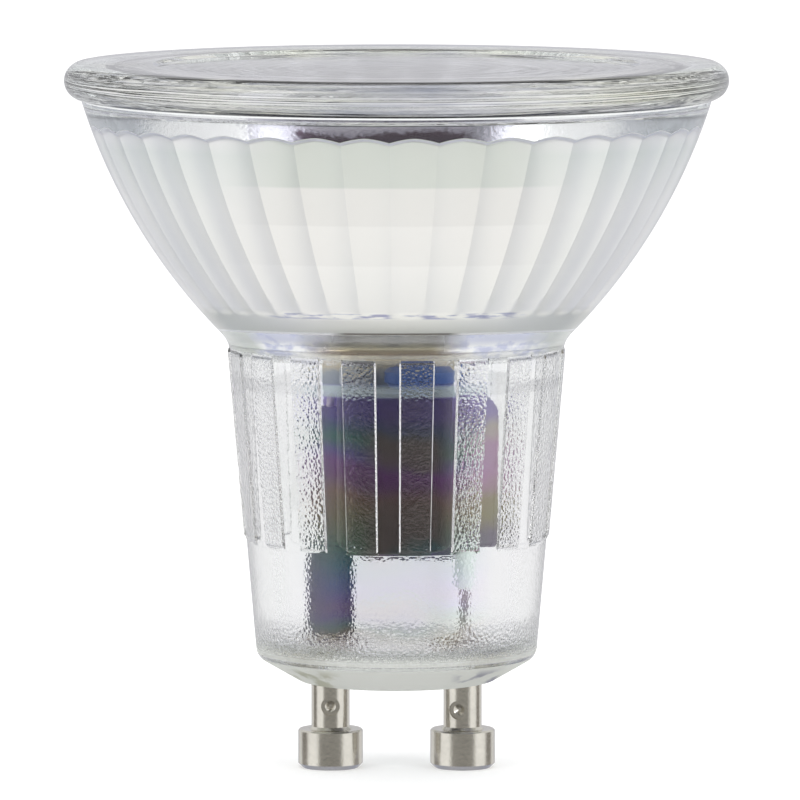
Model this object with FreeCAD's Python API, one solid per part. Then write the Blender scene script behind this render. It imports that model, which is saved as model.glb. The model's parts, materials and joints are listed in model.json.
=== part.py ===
import FreeCAD, Part
import math
import os

# Reflector spotlight bulb: a pressed-glass body with a twist-lock base of two headed pins.
# Millimetres. +Z runs up the bulb's axis, the pins lie along X, and the front of the bulb faces -Y.
# The origin is midway between the pins, on the plane that their feet stand on.

Vector = FreeCAD.Vector
X_AXIS = Vector(1, 0, 0)
Y_AXIS = Vector(0, 1, 0)
Z_AXIS = Vector(0, 0, 1)

# Clearances between pieces
SLIP = 0.05            # a pin in its hole, a wire in a bore
LOOSE = 0.1            # a sleeve on a wire, a sleeve on a resistor

# Contact pins: a headed tube, riveted over a washer inside the glass floor
PIN_SPACING = 10.0
FOOT_R = 2.45
FOOT_HEIGHT = 2.95
FOOT_CHAMFER = 0.35
FOOT_TOP_CHAMFER = 0.12
SHANK_R = 1.45
SHANK_BEVEL = 0.2      # where the shank meets the foot
PIN_BORE_R = 0.8
PIN_BORE_FLOOR = 2.0   # height where the pin's bore begins
CRIMP_R = 0.71         # round punch mark in the front of the shank
CRIMP_FLOOR = 1.15     # distance of the mark's flat floor from the pin's axis
CRIMP_PIT_R = 0.42
CRIMP_PIT_TIP_R = 0.12
CRIMP_PIT_DEPTH = 0.25
CRIMP_HEIGHTS = {"left": 4.78, "right": 4.5}
CRIMP_TURNS = {"left": 0.0, "right": -14.0}   # degrees from the front
FLARE_R = 1.85
FLARE_HEIGHT = 0.3
WASHER_R = 2.15
WASHER_THICKNESS = 0.25

# Glass neck and floor
BASE_Z = 6.75          # underside of the glass
FLOOR_THICKNESS = 2.55
BASE_FLAT_R = 7.4
NECK_FOOT_Z = 8.6      # sharp corner between the base chamfer and the neck, before rounding
NECK_FOOT_R = 10.57
NECK_TAPER = 4.95      # degrees from the axis
BASE_CORNER_ROUND = 1.1
BASE_EDGE_ROUND = 0.6
BORE_TOP_R = 9.75
BORE_TAPER = 2.4
FLOOR_ROUND = 1.2

# Glass cone: its outline is an arc, turned about the axis
CONE_ARC_R = 43.47
CONE_CENTRE_R = -17.81
CONE_CENTRE_Z = 63.53
CONE_WALL = 2.1
MOUTH_Z = 50.65
WAIST_ROUND = 2.4      # hollow round between neck and cone

# Flutes pressed into the cone's inner wall
FLUTE_COUNT = 38
FLUTE_TOOL_R = 7.0
FLUTE_DEPTH = 0.6
FLUTE_TOP_Z = 49.35
FLUTE_FOOT_Z = 36.0
FLUTE_PHASE = 3.4      # degrees from the front to the middle of the nearest flute

# Ribs on the outside of the neck
RIB_COUNT = 18
RIB_ANGLE = 11.5
RIB_HEIGHT = 0.17
RIB_BOTTOM_Z = 17.4
RIB_TOP_Z = 32.1
RIB_PHASE = 7.0

# Front lens and its seal
SEAL_THICKNESS = 0.15
SEAL_WIDTH = 1.5
LENS_BEAD_R = 25.0
LENS_THICKNESS = 2.6
LENS_LAND_R = 23.95    # where the bead meets the underside
LENS_CREST_R = 24.15   # where the bead meets the top
LENS_SPIGOT_DEPTH = 0.6
LENS_SPIGOT_GAP = 0.3
LENS_WINDOW_R = 18.0
LENS_WINDOW_DEPTH = 0.3
LENS_WINDOW_SLOPE = 0.35

# LED board, glued on a seat at the waist
LED_BOARD_R = 10.2
LED_BOARD_THICKNESS = 1.0
LED_BOARD_TOP_Z = 33.95
SEAT_GAP = 0.7         # room for glue between the board's edge and the glass
GLUE_GAP = 0.05
GLUE_HEIGHT = 0.75
CHIP_COUNT = 8
CHIP_RING_R = 6.5
CHIP_WIDTH = 2.8
CHIP_LENGTH = 3.5
CHIP_HEIGHT = 0.7
CHIP_CUP_R = 1.05
CHIP_CUP_DEPTH = 0.2

# Driver board, upright across the neck, its tongue through the LED board
DRIVER_FRONT_Y = 0.8
DRIVER_THICKNESS = 1.0
DRIVER_LEFT_X = -5.6
DRIVER_RIGHT_X = 7.84
DRIVER_SHOULDER_X = 4.4
DRIVER_SHOULDER_Z = 28.6
DRIVER_BOTTOM_Z = 16.2
DRIVER_RIGHT_BOTTOM_Z = 17.05
DRIVER_CORNER_ROUND = 1.5
DRIVER_SMALL_ROUND = 0.4
TONGUE_HALF_WIDTH = 2.4
TONGUE_RISE = 0.4
HEAD_GAP = 0.35        # between the driver board's shoulders and the LED board
SLOT_GAP = 0.12

# Electrolytic capacitor in front of the driver board
CAN_SLEEVE_R = 4.2
CAN_SLEEVE_WALL = 0.12
SLEEVE_SKIN_GAP = 0.02  # between the can and its sleeve
CAN_BOTTOM_Z = 17.2
CAN_TOP_Z = 29.2
CAN_BOARD_GAP = 0.2
CAN_X = -0.13
CAN_BEVEL = 0.35
CAN_GROOVE_R = 0.45
CAN_GROOVE_Z = 1.6     # height of the rolled groove over the can's open end
CAN_LIP_WIDTH = 0.75
VENT_WIDTH = 0.3
VENT_DEPTH = 0.12
VENT_LENGTH = 5.2
BUNG_R = 3.2
BUNG_HEIGHT = 1.3
LEG_R = 0.25
LEG_HALF_PITCH = 1.75
LEG_BEND_R = 0.32
LEG_OUT = 0.35         # how far the legs stand past the back of the board
LEG_DROP = 0.13        # straight stretch between the bung and the legs' bend

# Parts on the upper front of the driver board, by the place of their middle
VARISTOR_X = 1.7
VARISTOR_Z = 30.25
VARISTOR_R = 2.6
VARISTOR_HEIGHT = 1.8
VARISTOR_BEVEL = 0.5
FILM_CAPACITOR_X = -2.95
FILM_CAPACITOR_WIDTH = 2.6
FILM_CAPACITOR_HEIGHT = 1.6
FILM_CAPACITOR_DEPTH = 1.9
FILM_CAPACITOR_Z = 30.17
SMALL_PART_BEVEL = 0.3

# Transformer on the back of the driver board
CORE_WIDTH = 8.6
CORE_HEIGHT = 8.2
CORE_DEPTH = 3.6
CORE_LEG = 1.2
CORE_CENTRE_LEG = 2.5
CORE_MIDDLE_Z = 23.4
BOBBIN_WALL = 0.4
BOBBIN_FLANGE = 0.45
BOBBIN_DEPTH = 6.0
WINDING_INSET = 0.35
WINDING_ROUND = 0.6

# Parts on the back of the driver board, by the place of their middle
RECTIFIER_X = -2.4
RECTIFIER_Z = 30.4
RECTIFIER_WIDTH = 3.6
RECTIFIER_HEIGHT = 3.4
RECTIFIER_DEPTH = 1.4
RECTIFIER_TAB_WIDTH = 0.7
CONTROL_CHIP_X = 2.1
CONTROL_CHIP_Z = 30.1
CONTROL_CHIP_WIDTH = 2.7
CONTROL_CHIP_HEIGHT = 3.2
CONTROL_CHIP_DEPTH = 1.1
CONTROL_CHIP_TAB_WIDTH = 0.35
DIODE_X = 6.2
DIODE_Z = 21.6
DIODE_WIDTH = 1.9
DIODE_HEIGHT = 3.2
DIODE_DEPTH = 1.4
BODY_BEVEL = 0.15
TAB_THICKNESS = 0.2
TAB_REACH = 0.45
RESISTOR_COUNT = 3
RESISTOR_X = 6.2
RESISTOR_LOW_Z = 24.6
RESISTOR_PITCH = 0.95
RESISTOR_WIDTH = 1.6
RESISTOR_HEIGHT = 0.6
RESISTOR_DEPTH = 0.45
CHOKE_R = 0.8
CHOKE_LENGTH = 4.6
CHOKE_Z = 18.4
CHOKE_X = 0.3
CHOKE_BEVEL = 0.3

# Fuse resistor over the left pin, in a shrunk sleeve that climbs its upper wire
WIRE_R = 0.28
WIRE_BOTTOM_Z = 4.3
FUSE_R = 1.5
FUSE_WAIST_R = 1.32
FUSE_CAP = 1.1
FUSE_BOTTOM_Z = 10.3
FUSE_TOP_Z = 16.6
NOTCH_GAP = 0.25       # between the fuse sleeve and the board's notch
SLEEVE_WALL = 0.15
SLEEVE_NECK_LENGTH = 1.1
FUSE_SLEEVE_TOP_Z = 27.85
FUSE_SLEEVE_NECK_WALL = 0.4
FUSE_WIRE_HOLE_Z = 28.45
FUSE_WIRE_BEND_R = 0.5
WIRE_BEND_R = 0.9
WIRE_HOLE_Z = 27.9
WIRE_OUT = 0.5

# Lead from the right pin, in a pale sleeve
RIGHT_LEAD_SHIFT = 0.15
RIGHT_LEAD_Y = -0.2
RIGHT_KINK_LOW_Z = 10.4
RIGHT_KINK_HIGH_Z = 13.4
RIGHT_SLEEVE_R = 0.75
RIGHT_SLEEVE_BOTTOM_Z = 14.0
RIGHT_SLEEVE_TOP_Z = 26.6
KINK_BEND_R = 8.0

# Solder
SOLDER_R = 0.7
SOLDER_TOP_R = 0.36
SOLDER_HEIGHT = 0.4
SOLDER_GAP = 0.01
TONGUE_SOLDER_X = 1.35
TONGUE_SOLDER_WIDTH = 1.5
TONGUE_SOLDER_REACH = 0.9
TONGUE_SOLDER_HEIGHT = 0.35

# Values that follow from the ones above
FLOOR_Z = BASE_Z + FLOOR_THICKNESS
LED_BOARD_Z = LED_BOARD_TOP_Z - LED_BOARD_THICKNESS
SEAT_R = LED_BOARD_R + SEAT_GAP
LENS_LAND_Z = MOUTH_Z + SEAL_THICKNESS
LENS_TOP_Z = LENS_LAND_Z + LENS_THICKNESS
DRIVER_BACK_Y = DRIVER_FRONT_Y + DRIVER_THICKNESS
DRIVER_HEAD_Z = LED_BOARD_Z - HEAD_GAP
CAN_Y = DRIVER_FRONT_Y - CAN_BOARD_GAP - CAN_SLEEVE_R
CAN_PLACE = Vector(CAN_X, CAN_Y, 0)
CAN_R = CAN_SLEEVE_R - CAN_SLEEVE_WALL
LEG_Z = CAN_BOTTOM_Z - LEG_DROP - LEG_BEND_R
TRANSFORMER_Y = DRIVER_BACK_Y + BOBBIN_DEPTH / 2
FLARE_BOTTOM_Z = FLOOR_Z + WASHER_THICKNESS


def cone_radius(z, inset):
    """Radius of the cone's arc at height z, drawn inset millimetres inside the outer face."""
    return CONE_CENTRE_R + math.sqrt((CONE_ARC_R - inset) ** 2 - (z - CONE_CENTRE_Z) ** 2)


def cone_height(radius, inset):
    """Height where the cone's arc, drawn inset inside the outer face, has this radius."""
    return CONE_CENTRE_Z - math.sqrt((CONE_ARC_R - inset) ** 2 - (radius - CONE_CENTRE_R) ** 2)


def cone_arc(low_z, high_z, inset):
    """The cone's outline between two heights, as one arc from the lower to the higher point."""
    middle_z = (low_z + high_z) / 2
    places = [Vector(cone_radius(z, inset), 0, z) for z in (low_z, middle_z, high_z)]
    return Part.Arc(*places).toShape()


def neck_radius(z):
    return NECK_FOOT_R + (z - NECK_FOOT_Z) * math.tan(math.radians(NECK_TAPER))


def bore_radius(z):
    return BORE_TOP_R - (LED_BOARD_Z - z) * math.tan(math.radians(BORE_TAPER))


def lines(points):
    """Straight edges through (radius, height) points, in the XZ plane."""
    places = [Vector(r, 0, z) for r, z in points]
    return [Part.LineSegment(a, b).toShape() for a, b in zip(places, places[1:])]


def turned(edges, angle=360.0):
    """The solid that a closed outline in the XZ plane sweeps about the Z axis."""
    outline = Part.Wire(Part.__sortEdges__(edges))
    return Part.Face(outline).revolve(Vector(0, 0, 0), Z_AXIS, angle)


def turned_points(points, angle=360.0):
    """The solid turned from a closed outline of straight sides, given as (radius, height) points."""
    return turned(lines(points + points[:1]), angle)


def rounded_path(places, rounds):
    """Edges through the places, with a tangent arc of the given radius at each inner corner."""
    edges = []
    start = places[0]
    for before, corner, after, bend in zip(places, places[1:], places[2:], rounds):
        if not bend:
            edges.append(Part.LineSegment(start, corner).toShape())
            start = corner
            continue
        back = (before - corner).normalize()
        ahead = (after - corner).normalize()
        half_turn = (math.pi - back.getAngle(ahead)) / 2
        reach = bend * math.tan(half_turn)
        arc_end = corner + ahead * reach
        arc_middle = corner + (back + ahead).normalize() * (bend / math.cos(half_turn) - bend)
        edges.append(Part.LineSegment(start, corner + back * reach).toShape())
        edges.append(Part.Arc(corner + back * reach, arc_middle, arc_end).toShape())
        start = arc_end
    edges.append(Part.LineSegment(start, places[-1]).toShape())
    return edges


def bevelled_path(places, bevels):
    """Straight edges through the places, with each inner corner cut off by its bevel's length."""
    corners = [places[0]]
    for before, corner, after, bevel in zip(places, places[1:], places[2:], bevels):
        if bevel:
            corners.append(corner + (before - corner).normalize() * bevel)
            corners.append(corner + (after - corner).normalize() * bevel)
        else:
            corners.append(corner)
    corners.append(places[-1])
    return [Part.LineSegment(a, b).toShape() for a, b in zip(corners, corners[1:])]


def at(radius, z):
    """The point of the XZ plane with this radius and height."""
    return Vector(radius, 0, z)


def box(low, high):
    size = high - low
    return Part.makeBox(size.x, size.y, size.z, low)


def bevelled_box(low, high, bevel):
    solid = box(low, high)
    return solid.makeChamfer(bevel, solid.Edges)


def rounded_plate(points, rounds, y, thickness):
    """An upright plate between two Y planes from its (x, z) corners; rounds gives the radius of each
    corner but the first, which is a point on a straight side."""
    corners = [Vector(x, y, z) for x, z in points + points[:1]]
    outline = Part.Wire(rounded_path(corners, rounds))
    return Part.Face(outline).extrude(Vector(0, thickness, 0))


def tube(radius, bore, low_z, high_z, x, y):
    """A straight upright tube; a bore of zero makes it solid."""
    place = Vector(x, y, low_z)
    solid = Part.makeCylinder(radius, high_z - low_z, place)
    if bore:
        solid = solid.cut(Part.makeCylinder(bore, high_z - low_z, place))
    return solid


def bent_wire(points, radius, bends):
    """A round wire through the points, bent to the given radius at each inner point."""
    places = [Vector(*p) for p in points]
    section = Part.Wire(Part.makeCircle(radius, places[0], places[1] - places[0]))
    return Part.Wire(rounded_path(places, bends)).makePipeShell([section], True, True)


def ring_of(solid, count, first=0.0):
    """Copies of a solid, evenly turned about the Z axis."""
    copies = []
    for i in range(count):
        copy = solid.copy()
        copy.rotate(Vector(0, 0, 0), Z_AXIS, first + 360.0 * i / count)
        copies.append(copy)
    return copies


def front_angle(phase):
    """Turn that takes a piece made on the +X side to the front, phase degrees to the right."""
    return -90.0 + phase


def waist_places():
    """The hollow round between neck and cone: where it meets the neck, its middle, where it meets the cone.
    Its centre lies WAIST_ROUND outside the neck's line and outside the cone's arc."""
    slope = math.radians(NECK_TAPER)
    outward = Vector(math.cos(slope), 0, -math.sin(slope))
    upward = Vector(math.sin(slope), 0, math.cos(slope))
    cone_centre = at(CONE_CENTRE_R, CONE_CENTRE_Z)
    start = at(NECK_FOOT_R, NECK_FOOT_Z) + outward * WAIST_ROUND
    across = (start - cone_centre).dot(outward)
    reach = math.sqrt((CONE_ARC_R + WAIST_ROUND) ** 2 - across ** 2)
    centre = start + upward * ((cone_centre - start).dot(upward) - reach)
    on_neck = centre - outward * WAIST_ROUND
    to_cone = (cone_centre - centre).normalize()
    on_cone = centre + to_cone * WAIST_ROUND
    middle = centre + (to_cone - outward).normalize() * WAIST_ROUND
    return on_neck, middle, on_cone


def glass_blank():
    """The body before its ribs, flutes and pin holes: neck, waist and cone turned in one piece."""
    on_neck, waist_middle, on_cone = waist_places()
    seat_top_z = cone_height(SEAT_R, CONE_WALL)
    base = [at(0, BASE_Z), at(BASE_FLAT_R, BASE_Z), at(NECK_FOOT_R, NECK_FOOT_Z), on_neck]
    mouth = [at(cone_radius(MOUTH_Z, inset), MOUTH_Z) for inset in (0, CONE_WALL)]
    hollow = [at(SEAT_R, seat_top_z), at(SEAT_R, LED_BOARD_Z), at(BORE_TOP_R, LED_BOARD_Z),
              at(bore_radius(FLOOR_Z), FLOOR_Z), at(0, FLOOR_Z), at(0, BASE_Z)]
    edges = rounded_path(base, [BASE_EDGE_ROUND, BASE_CORNER_ROUND])
    edges.append(Part.Arc(on_neck, waist_middle, on_cone).toShape())
    edges.append(cone_arc(on_cone.z, MOUTH_Z, 0))
    edges += rounded_path(mouth, [])
    edges.append(cone_arc(seat_top_z, MOUTH_Z, CONE_WALL))
    edges += rounded_path(hollow, [0, 0, FLOOR_ROUND, 0])
    return turned(edges)


def neck_rib():
    """One flat-faced rib, a sector of a thin collar that follows the neck's taper."""
    collar = [(neck_radius(z) + step, z)
              for z, step in ((RIB_BOTTOM_Z, -RIB_HEIGHT), (RIB_BOTTOM_Z, RIB_HEIGHT),
                              (RIB_TOP_Z, RIB_HEIGHT), (RIB_TOP_Z, -RIB_HEIGHT))]
    rib = turned_points(collar, RIB_ANGLE)
    rib.rotate(Vector(0, 0, 0), Z_AXIS, -RIB_ANGLE / 2)
    return rib


def flute_tool():
    """The ridge of the press tool that makes one flute: a bar of half-round section, bent along the inner
    wall with its crest FLUTE_DEPTH beyond it, flat at its foot, with a ball end at the top. Only its share
    of the turn is kept, so that neighbours meet in a cusp."""
    wall_r = CONE_ARC_R - CONE_WALL
    crest_r = wall_r + FLUTE_DEPTH
    ball_reach = math.sqrt(2 * FLUTE_TOOL_R * FLUTE_DEPTH)
    top_angle = math.asin((FLUTE_TOP_Z - CONE_CENTRE_Z) / wall_r) - ball_reach / wall_r
    foot_angle = math.asin((FLUTE_FOOT_Z - CONE_CENTRE_Z) / wall_r)
    cone_centre = at(CONE_CENTRE_R, CONE_CENTRE_Z)
    outward = at(math.cos(top_angle), math.sin(top_angle))
    crest = cone_centre + outward * crest_r
    middle = crest - outward * FLUTE_TOOL_R
    side = Y_AXIS * FLUTE_TOOL_R
    section = Part.Face(Part.Wire([Part.Arc(middle + side, crest, middle - side).toShape(),
                                   Part.LineSegment(middle - side, middle + side).toShape()]))
    bar = section.revolve(cone_centre, Y_AXIS, math.degrees(top_angle - foot_angle))
    ball_end = section.revolve(middle, Y_AXIS * -1, 90.0)
    half_pitch = math.radians(180.0 / FLUTE_COUNT)
    far = at(2 * LENS_BEAD_R, 0)
    across = Y_AXIS * (far.x * math.tan(half_pitch))
    share = Part.Face(Part.makePolygon([at(0, 0), far - across, far + across, at(0, 0)]))
    return bar.fuse(ball_end).common(share.extrude(Z_AXIS * (2 * LENS_TOP_Z)))


def glass_envelope():
    pin_hole = tube(SHANK_R + SLIP, 0, BASE_Z - FOOT_HEIGHT, FLOOR_Z + FLOOR_ROUND, PIN_SPACING / 2, 0)
    ribs = ring_of(neck_rib(), RIB_COUNT, front_angle(RIB_PHASE))
    flutes = ring_of(flute_tool(), FLUTE_COUNT, front_angle(FLUTE_PHASE))
    return glass_blank().fuse(ribs).cut(flutes + ring_of(pin_hole, 2))


def front_lens():
    """Cover glass with a round bead at its edge, a shallow window in its top and a spigot in the mouth."""
    spigot_r = cone_radius(MOUTH_Z, CONE_WALL) - LENS_SPIGOT_GAP
    window_z = LENS_TOP_Z - LENS_WINDOW_DEPTH
    bead = [at(LENS_LAND_R, LENS_LAND_Z), at(LENS_BEAD_R, (LENS_LAND_Z + LENS_TOP_Z) / 2),
            at(LENS_CREST_R, LENS_TOP_Z)]
    edges = lines([(0, LENS_LAND_Z - LENS_SPIGOT_DEPTH), (spigot_r, LENS_LAND_Z - LENS_SPIGOT_DEPTH),
                   (spigot_r, LENS_LAND_Z), (LENS_LAND_R, LENS_LAND_Z)])
    edges.append(Part.Arc(*bead).toShape())
    edges += lines([(LENS_CREST_R, LENS_TOP_Z), (LENS_WINDOW_R + LENS_WINDOW_SLOPE, LENS_TOP_Z),
                    (LENS_WINDOW_R, window_z), (0, window_z), (0, LENS_LAND_Z - LENS_SPIGOT_DEPTH)])
    return turned(edges)


def lens_seal():
    outer_r = cone_radius(MOUTH_Z, 0) - SLIP
    return turned_points([(outer_r - SEAL_WIDTH, MOUTH_Z), (outer_r, MOUTH_Z),
                          (outer_r, LENS_LAND_Z), (outer_r - SEAL_WIDTH, LENS_LAND_Z)])


def led_board():
    slot = box(Vector(-TONGUE_HALF_WIDTH - SLOT_GAP, DRIVER_FRONT_Y - SLOT_GAP, LED_BOARD_Z),
               Vector(TONGUE_HALF_WIDTH + SLOT_GAP, DRIVER_BACK_Y + SLOT_GAP, LED_BOARD_TOP_Z))
    return tube(LED_BOARD_R, 0, LED_BOARD_Z, LED_BOARD_TOP_Z, 0, 0).cut(slot)


def led_chips():
    """Packages in a ring, each with a round cup of phosphor sunk in its top."""
    top_z = LED_BOARD_TOP_Z + CHIP_HEIGHT
    chip = box(Vector(CHIP_RING_R - CHIP_LENGTH / 2, -CHIP_WIDTH / 2, LED_BOARD_TOP_Z),
               Vector(CHIP_RING_R + CHIP_LENGTH / 2, CHIP_WIDTH / 2, top_z))
    cup = Part.makeCone(CHIP_CUP_R - CHIP_CUP_DEPTH, CHIP_CUP_R, CHIP_CUP_DEPTH,
                        at(CHIP_RING_R, top_z - CHIP_CUP_DEPTH))
    return Part.makeCompound(ring_of(chip.cut(cup), CHIP_COUNT, 180.0 / CHIP_COUNT))


def board_adhesive():
    """White glue in the corner between the LED board's edge and its seat, its top a slope."""
    inner_r = LED_BOARD_R + GLUE_GAP
    outer_r = SEAT_R - GLUE_GAP
    return turned_points([(inner_r, LED_BOARD_Z), (outer_r, LED_BOARD_Z),
                          (outer_r, LED_BOARD_Z + GLUE_HEIGHT / 2), (inner_r, LED_BOARD_Z + GLUE_HEIGHT)])


def driver_board():
    """Upright board with a shoulder, a tongue at the top and holes for the wires and legs."""
    tongue_z = LED_BOARD_TOP_Z + TONGUE_RISE
    fuse_notch_x = -PIN_SPACING / 2 + FUSE_R + SLEEVE_WALL + LOOSE + NOTCH_GAP
    fuse_notch_z = FUSE_TOP_Z + LOOSE + SLEEVE_NECK_LENGTH + NOTCH_GAP
    shoulder = [(0, DRIVER_BOTTOM_Z), (DRIVER_SHOULDER_X, DRIVER_BOTTOM_Z),
                (DRIVER_SHOULDER_X, DRIVER_RIGHT_BOTTOM_Z), (DRIVER_RIGHT_X, DRIVER_RIGHT_BOTTOM_Z),
                (DRIVER_RIGHT_X, DRIVER_SHOULDER_Z), (DRIVER_SHOULDER_X, DRIVER_SHOULDER_Z),
                (DRIVER_SHOULDER_X, DRIVER_HEAD_Z), (TONGUE_HALF_WIDTH, DRIVER_HEAD_Z)]
    tongue = [(TONGUE_HALF_WIDTH, tongue_z), (-TONGUE_HALF_WIDTH, tongue_z)]
    left = [(-TONGUE_HALF_WIDTH, DRIVER_HEAD_Z), (DRIVER_LEFT_X, DRIVER_HEAD_Z),
            (DRIVER_LEFT_X, fuse_notch_z), (fuse_notch_x, fuse_notch_z), (fuse_notch_x, DRIVER_BOTTOM_Z)]
    small, large = DRIVER_SMALL_ROUND, DRIVER_CORNER_ROUND
    rounds = [small, 0, small, large, small, small, 0, 0, 0, 0, small, small, small, small]
    plate = rounded_plate(shoulder + tongue + left, rounds, DRIVER_FRONT_Y, DRIVER_THICKNESS)
    holes = [Part.makeCylinder(radius + SLIP, DRIVER_THICKNESS, Vector(x, DRIVER_FRONT_Y, z), Y_AXIS)
             for x, z, radius in wire_holes()]
    return plate.cut(holes)


def wire_holes():
    """Where wires and legs pass through the driver board: x, z and the wire's radius."""
    wires = [(-PIN_SPACING / 2, FUSE_WIRE_HOLE_Z, WIRE_R), (right_lead_x(), WIRE_HOLE_Z, WIRE_R)]
    legs = [(x, LEG_Z, LEG_R) for x in leg_places()]
    return wires + legs


def leg_places():
    return [CAN_X - LEG_HALF_PITCH, CAN_X + LEG_HALF_PITCH]


def right_lead_x():
    return PIN_SPACING / 2 + RIGHT_LEAD_SHIFT


def on_front(x, z, width, height, depth):
    """Opposite corners of a block that stands on the front of the driver board."""
    return (Vector(x - width / 2, DRIVER_FRONT_Y - depth, z - height / 2),
            Vector(x + width / 2, DRIVER_FRONT_Y, z + height / 2))


def on_back(x, z, width, height, depth):
    """Opposite corners of a block that stands on the back of the driver board."""
    return (Vector(x - width / 2, DRIVER_BACK_Y, z - height / 2),
            Vector(x + width / 2, DRIVER_BACK_Y + depth, z + height / 2))


def capacitor_can():
    """Drawn can, closed and scored at the top, rolled in over the bung near its open end."""
    groove_z = CAN_BOTTOM_Z + CAN_GROOVE_Z
    inner_r = CAN_R - CAN_GROOVE_R
    bung_top_z = CAN_BOTTOM_Z + BUNG_HEIGHT
    low = [at(BUNG_R + SLIP, bung_top_z), at(BUNG_R + SLIP, CAN_BOTTOM_Z), at(CAN_R, CAN_BOTTOM_Z),
           at(CAN_R, groove_z - CAN_GROOVE_R), at(inner_r, groove_z), at(CAN_R, groove_z + CAN_GROOVE_R),
           at(CAN_R, CAN_TOP_Z), at(0, CAN_TOP_Z), at(0, bung_top_z), at(BUNG_R + SLIP, bung_top_z)]
    can = turned(bevelled_path(low, [0, CAN_BEVEL / 2, 0, CAN_GROOVE_R / 2, 0, CAN_BEVEL, 0, 0]))
    score = box(Vector(-VENT_LENGTH / 2, -VENT_WIDTH / 2, CAN_TOP_Z - VENT_DEPTH),
                Vector(VENT_LENGTH / 2, VENT_WIDTH / 2, CAN_TOP_Z))
    can = can.cut(ring_of(score, 4, 45.0)[:2])
    can.translate(CAN_PLACE)
    return can


def capacitor_sleeve():
    """Shrunk sleeve round the can, turned in over its top edge."""
    top_z = CAN_TOP_Z + CAN_SLEEVE_WALL
    outline = [at(CAN_R + SLEEVE_SKIN_GAP, CAN_BOTTOM_Z), at(CAN_SLEEVE_R, CAN_BOTTOM_Z),
               at(CAN_SLEEVE_R, top_z), at(CAN_R - CAN_LIP_WIDTH, top_z),
               at(CAN_R - CAN_LIP_WIDTH, CAN_TOP_Z), at(CAN_R + SLEEVE_SKIN_GAP, CAN_TOP_Z),
               at(CAN_R + SLEEVE_SKIN_GAP, CAN_BOTTOM_Z)]
    sleeve = turned(bevelled_path(outline, [0, CAN_BEVEL, 0, 0, 0]))
    sleeve.translate(CAN_PLACE)
    return sleeve


def capacitor_bung():
    bung = tube(BUNG_R, 0, CAN_BOTTOM_Z, CAN_BOTTOM_Z + BUNG_HEIGHT, CAN_X, CAN_Y)
    holes = [tube(LEG_R + SLIP, 0, CAN_BOTTOM_Z, CAN_BOTTOM_Z + BUNG_HEIGHT, x, CAN_Y)
             for x in leg_places()]
    return bung.cut(holes)


def capacitor_legs():
    """Two legs that leave the bung and bend back through the foot of the driver board."""
    legs = []
    for x in leg_places():
        route = [(x, CAN_Y, CAN_BOTTOM_Z + BUNG_HEIGHT), (x, CAN_Y, LEG_Z),
                 (x, DRIVER_BACK_Y + LEG_OUT, LEG_Z)]
        legs.append(bent_wire(route, LEG_R, [LEG_BEND_R]))
    return Part.makeCompound(legs)


def varistor():
    """A lacquered disc that lies over the capacitor's top, its edge against the driver board."""
    low_z, high_z = VARISTOR_Z - VARISTOR_HEIGHT / 2, VARISTOR_Z + VARISTOR_HEIGHT / 2
    disc = turned(bevelled_path(
        [at(0, low_z), at(VARISTOR_R, low_z), at(VARISTOR_R, high_z), at(0, high_z), at(0, low_z)],
        [VARISTOR_BEVEL, VARISTOR_BEVEL, 0]))
    disc.translate(Vector(VARISTOR_X, DRIVER_FRONT_Y - SLIP - VARISTOR_R, 0))
    return disc


def film_capacitor():
    corners = on_front(FILM_CAPACITOR_X, FILM_CAPACITOR_Z, FILM_CAPACITOR_WIDTH,
                       FILM_CAPACITOR_HEIGHT, FILM_CAPACITOR_DEPTH)
    return bevelled_box(*corners, SMALL_PART_BEVEL)


def centred_box(width, depth, height):
    """A box about the transformer's middle."""
    half = Vector(width, depth, height) * 0.5
    middle = Vector(0, TRANSFORMER_Y, CORE_MIDDLE_Z)
    return box(middle - half, middle + half)


def transformer_core():
    """Two E-shaped ferrite halves, cemented into one frame with a centre leg."""
    frame = centred_box(CORE_WIDTH, CORE_DEPTH, CORE_HEIGHT)
    window = centred_box(CORE_WIDTH - 2 * CORE_LEG, CORE_DEPTH, CORE_HEIGHT - 2 * CORE_LEG)
    leg = centred_box(CORE_CENTRE_LEG, CORE_CENTRE_LEG, CORE_HEIGHT - 2 * CORE_LEG)
    return frame.cut(window).fuse(leg)


def transformer_bobbin():
    """A square spool on the centre leg, its two flanges as deep as the space behind the board."""
    height = CORE_HEIGHT - 2 * CORE_LEG - 2 * SLIP
    flange_width = CORE_WIDTH - 2 * CORE_LEG - 2 * LOOSE
    barrel = CORE_CENTRE_LEG + 2 * (SLIP + BOBBIN_WALL)
    spool = centred_box(barrel, barrel, height)
    middle_z = CORE_MIDDLE_Z
    for side in (-1, 1):
        flange_z = middle_z + side * (height - BOBBIN_FLANGE) / 2
        flange = centred_box(flange_width, BOBBIN_DEPTH, BOBBIN_FLANGE)
        flange.translate(Z_AXIS * (flange_z - middle_z))
        spool = spool.fuse(flange)
    bore = CORE_CENTRE_LEG + 2 * SLIP
    return spool.cut(centred_box(bore, bore, height))


def transformer_winding():
    """The wound and taped coil between the flanges."""
    height = CORE_HEIGHT - 2 * CORE_LEG - 2 * SLIP - 2 * BOBBIN_FLANGE - 2 * SLIP
    width = CORE_WIDTH - 2 * CORE_LEG - 2 * LOOSE - 2 * WINDING_INSET
    coil = centred_box(width, BOBBIN_DEPTH - 2 * WINDING_INSET, height)
    upright = [e for e in coil.Edges if e.BoundBox.ZLength > height / 2]
    coil = coil.makeFillet(WINDING_ROUND, upright)
    barrel = CORE_CENTRE_LEG + 2 * (SLIP + BOBBIN_WALL) + 2 * SLIP
    return coil.cut(centred_box(barrel, barrel, height))


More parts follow.
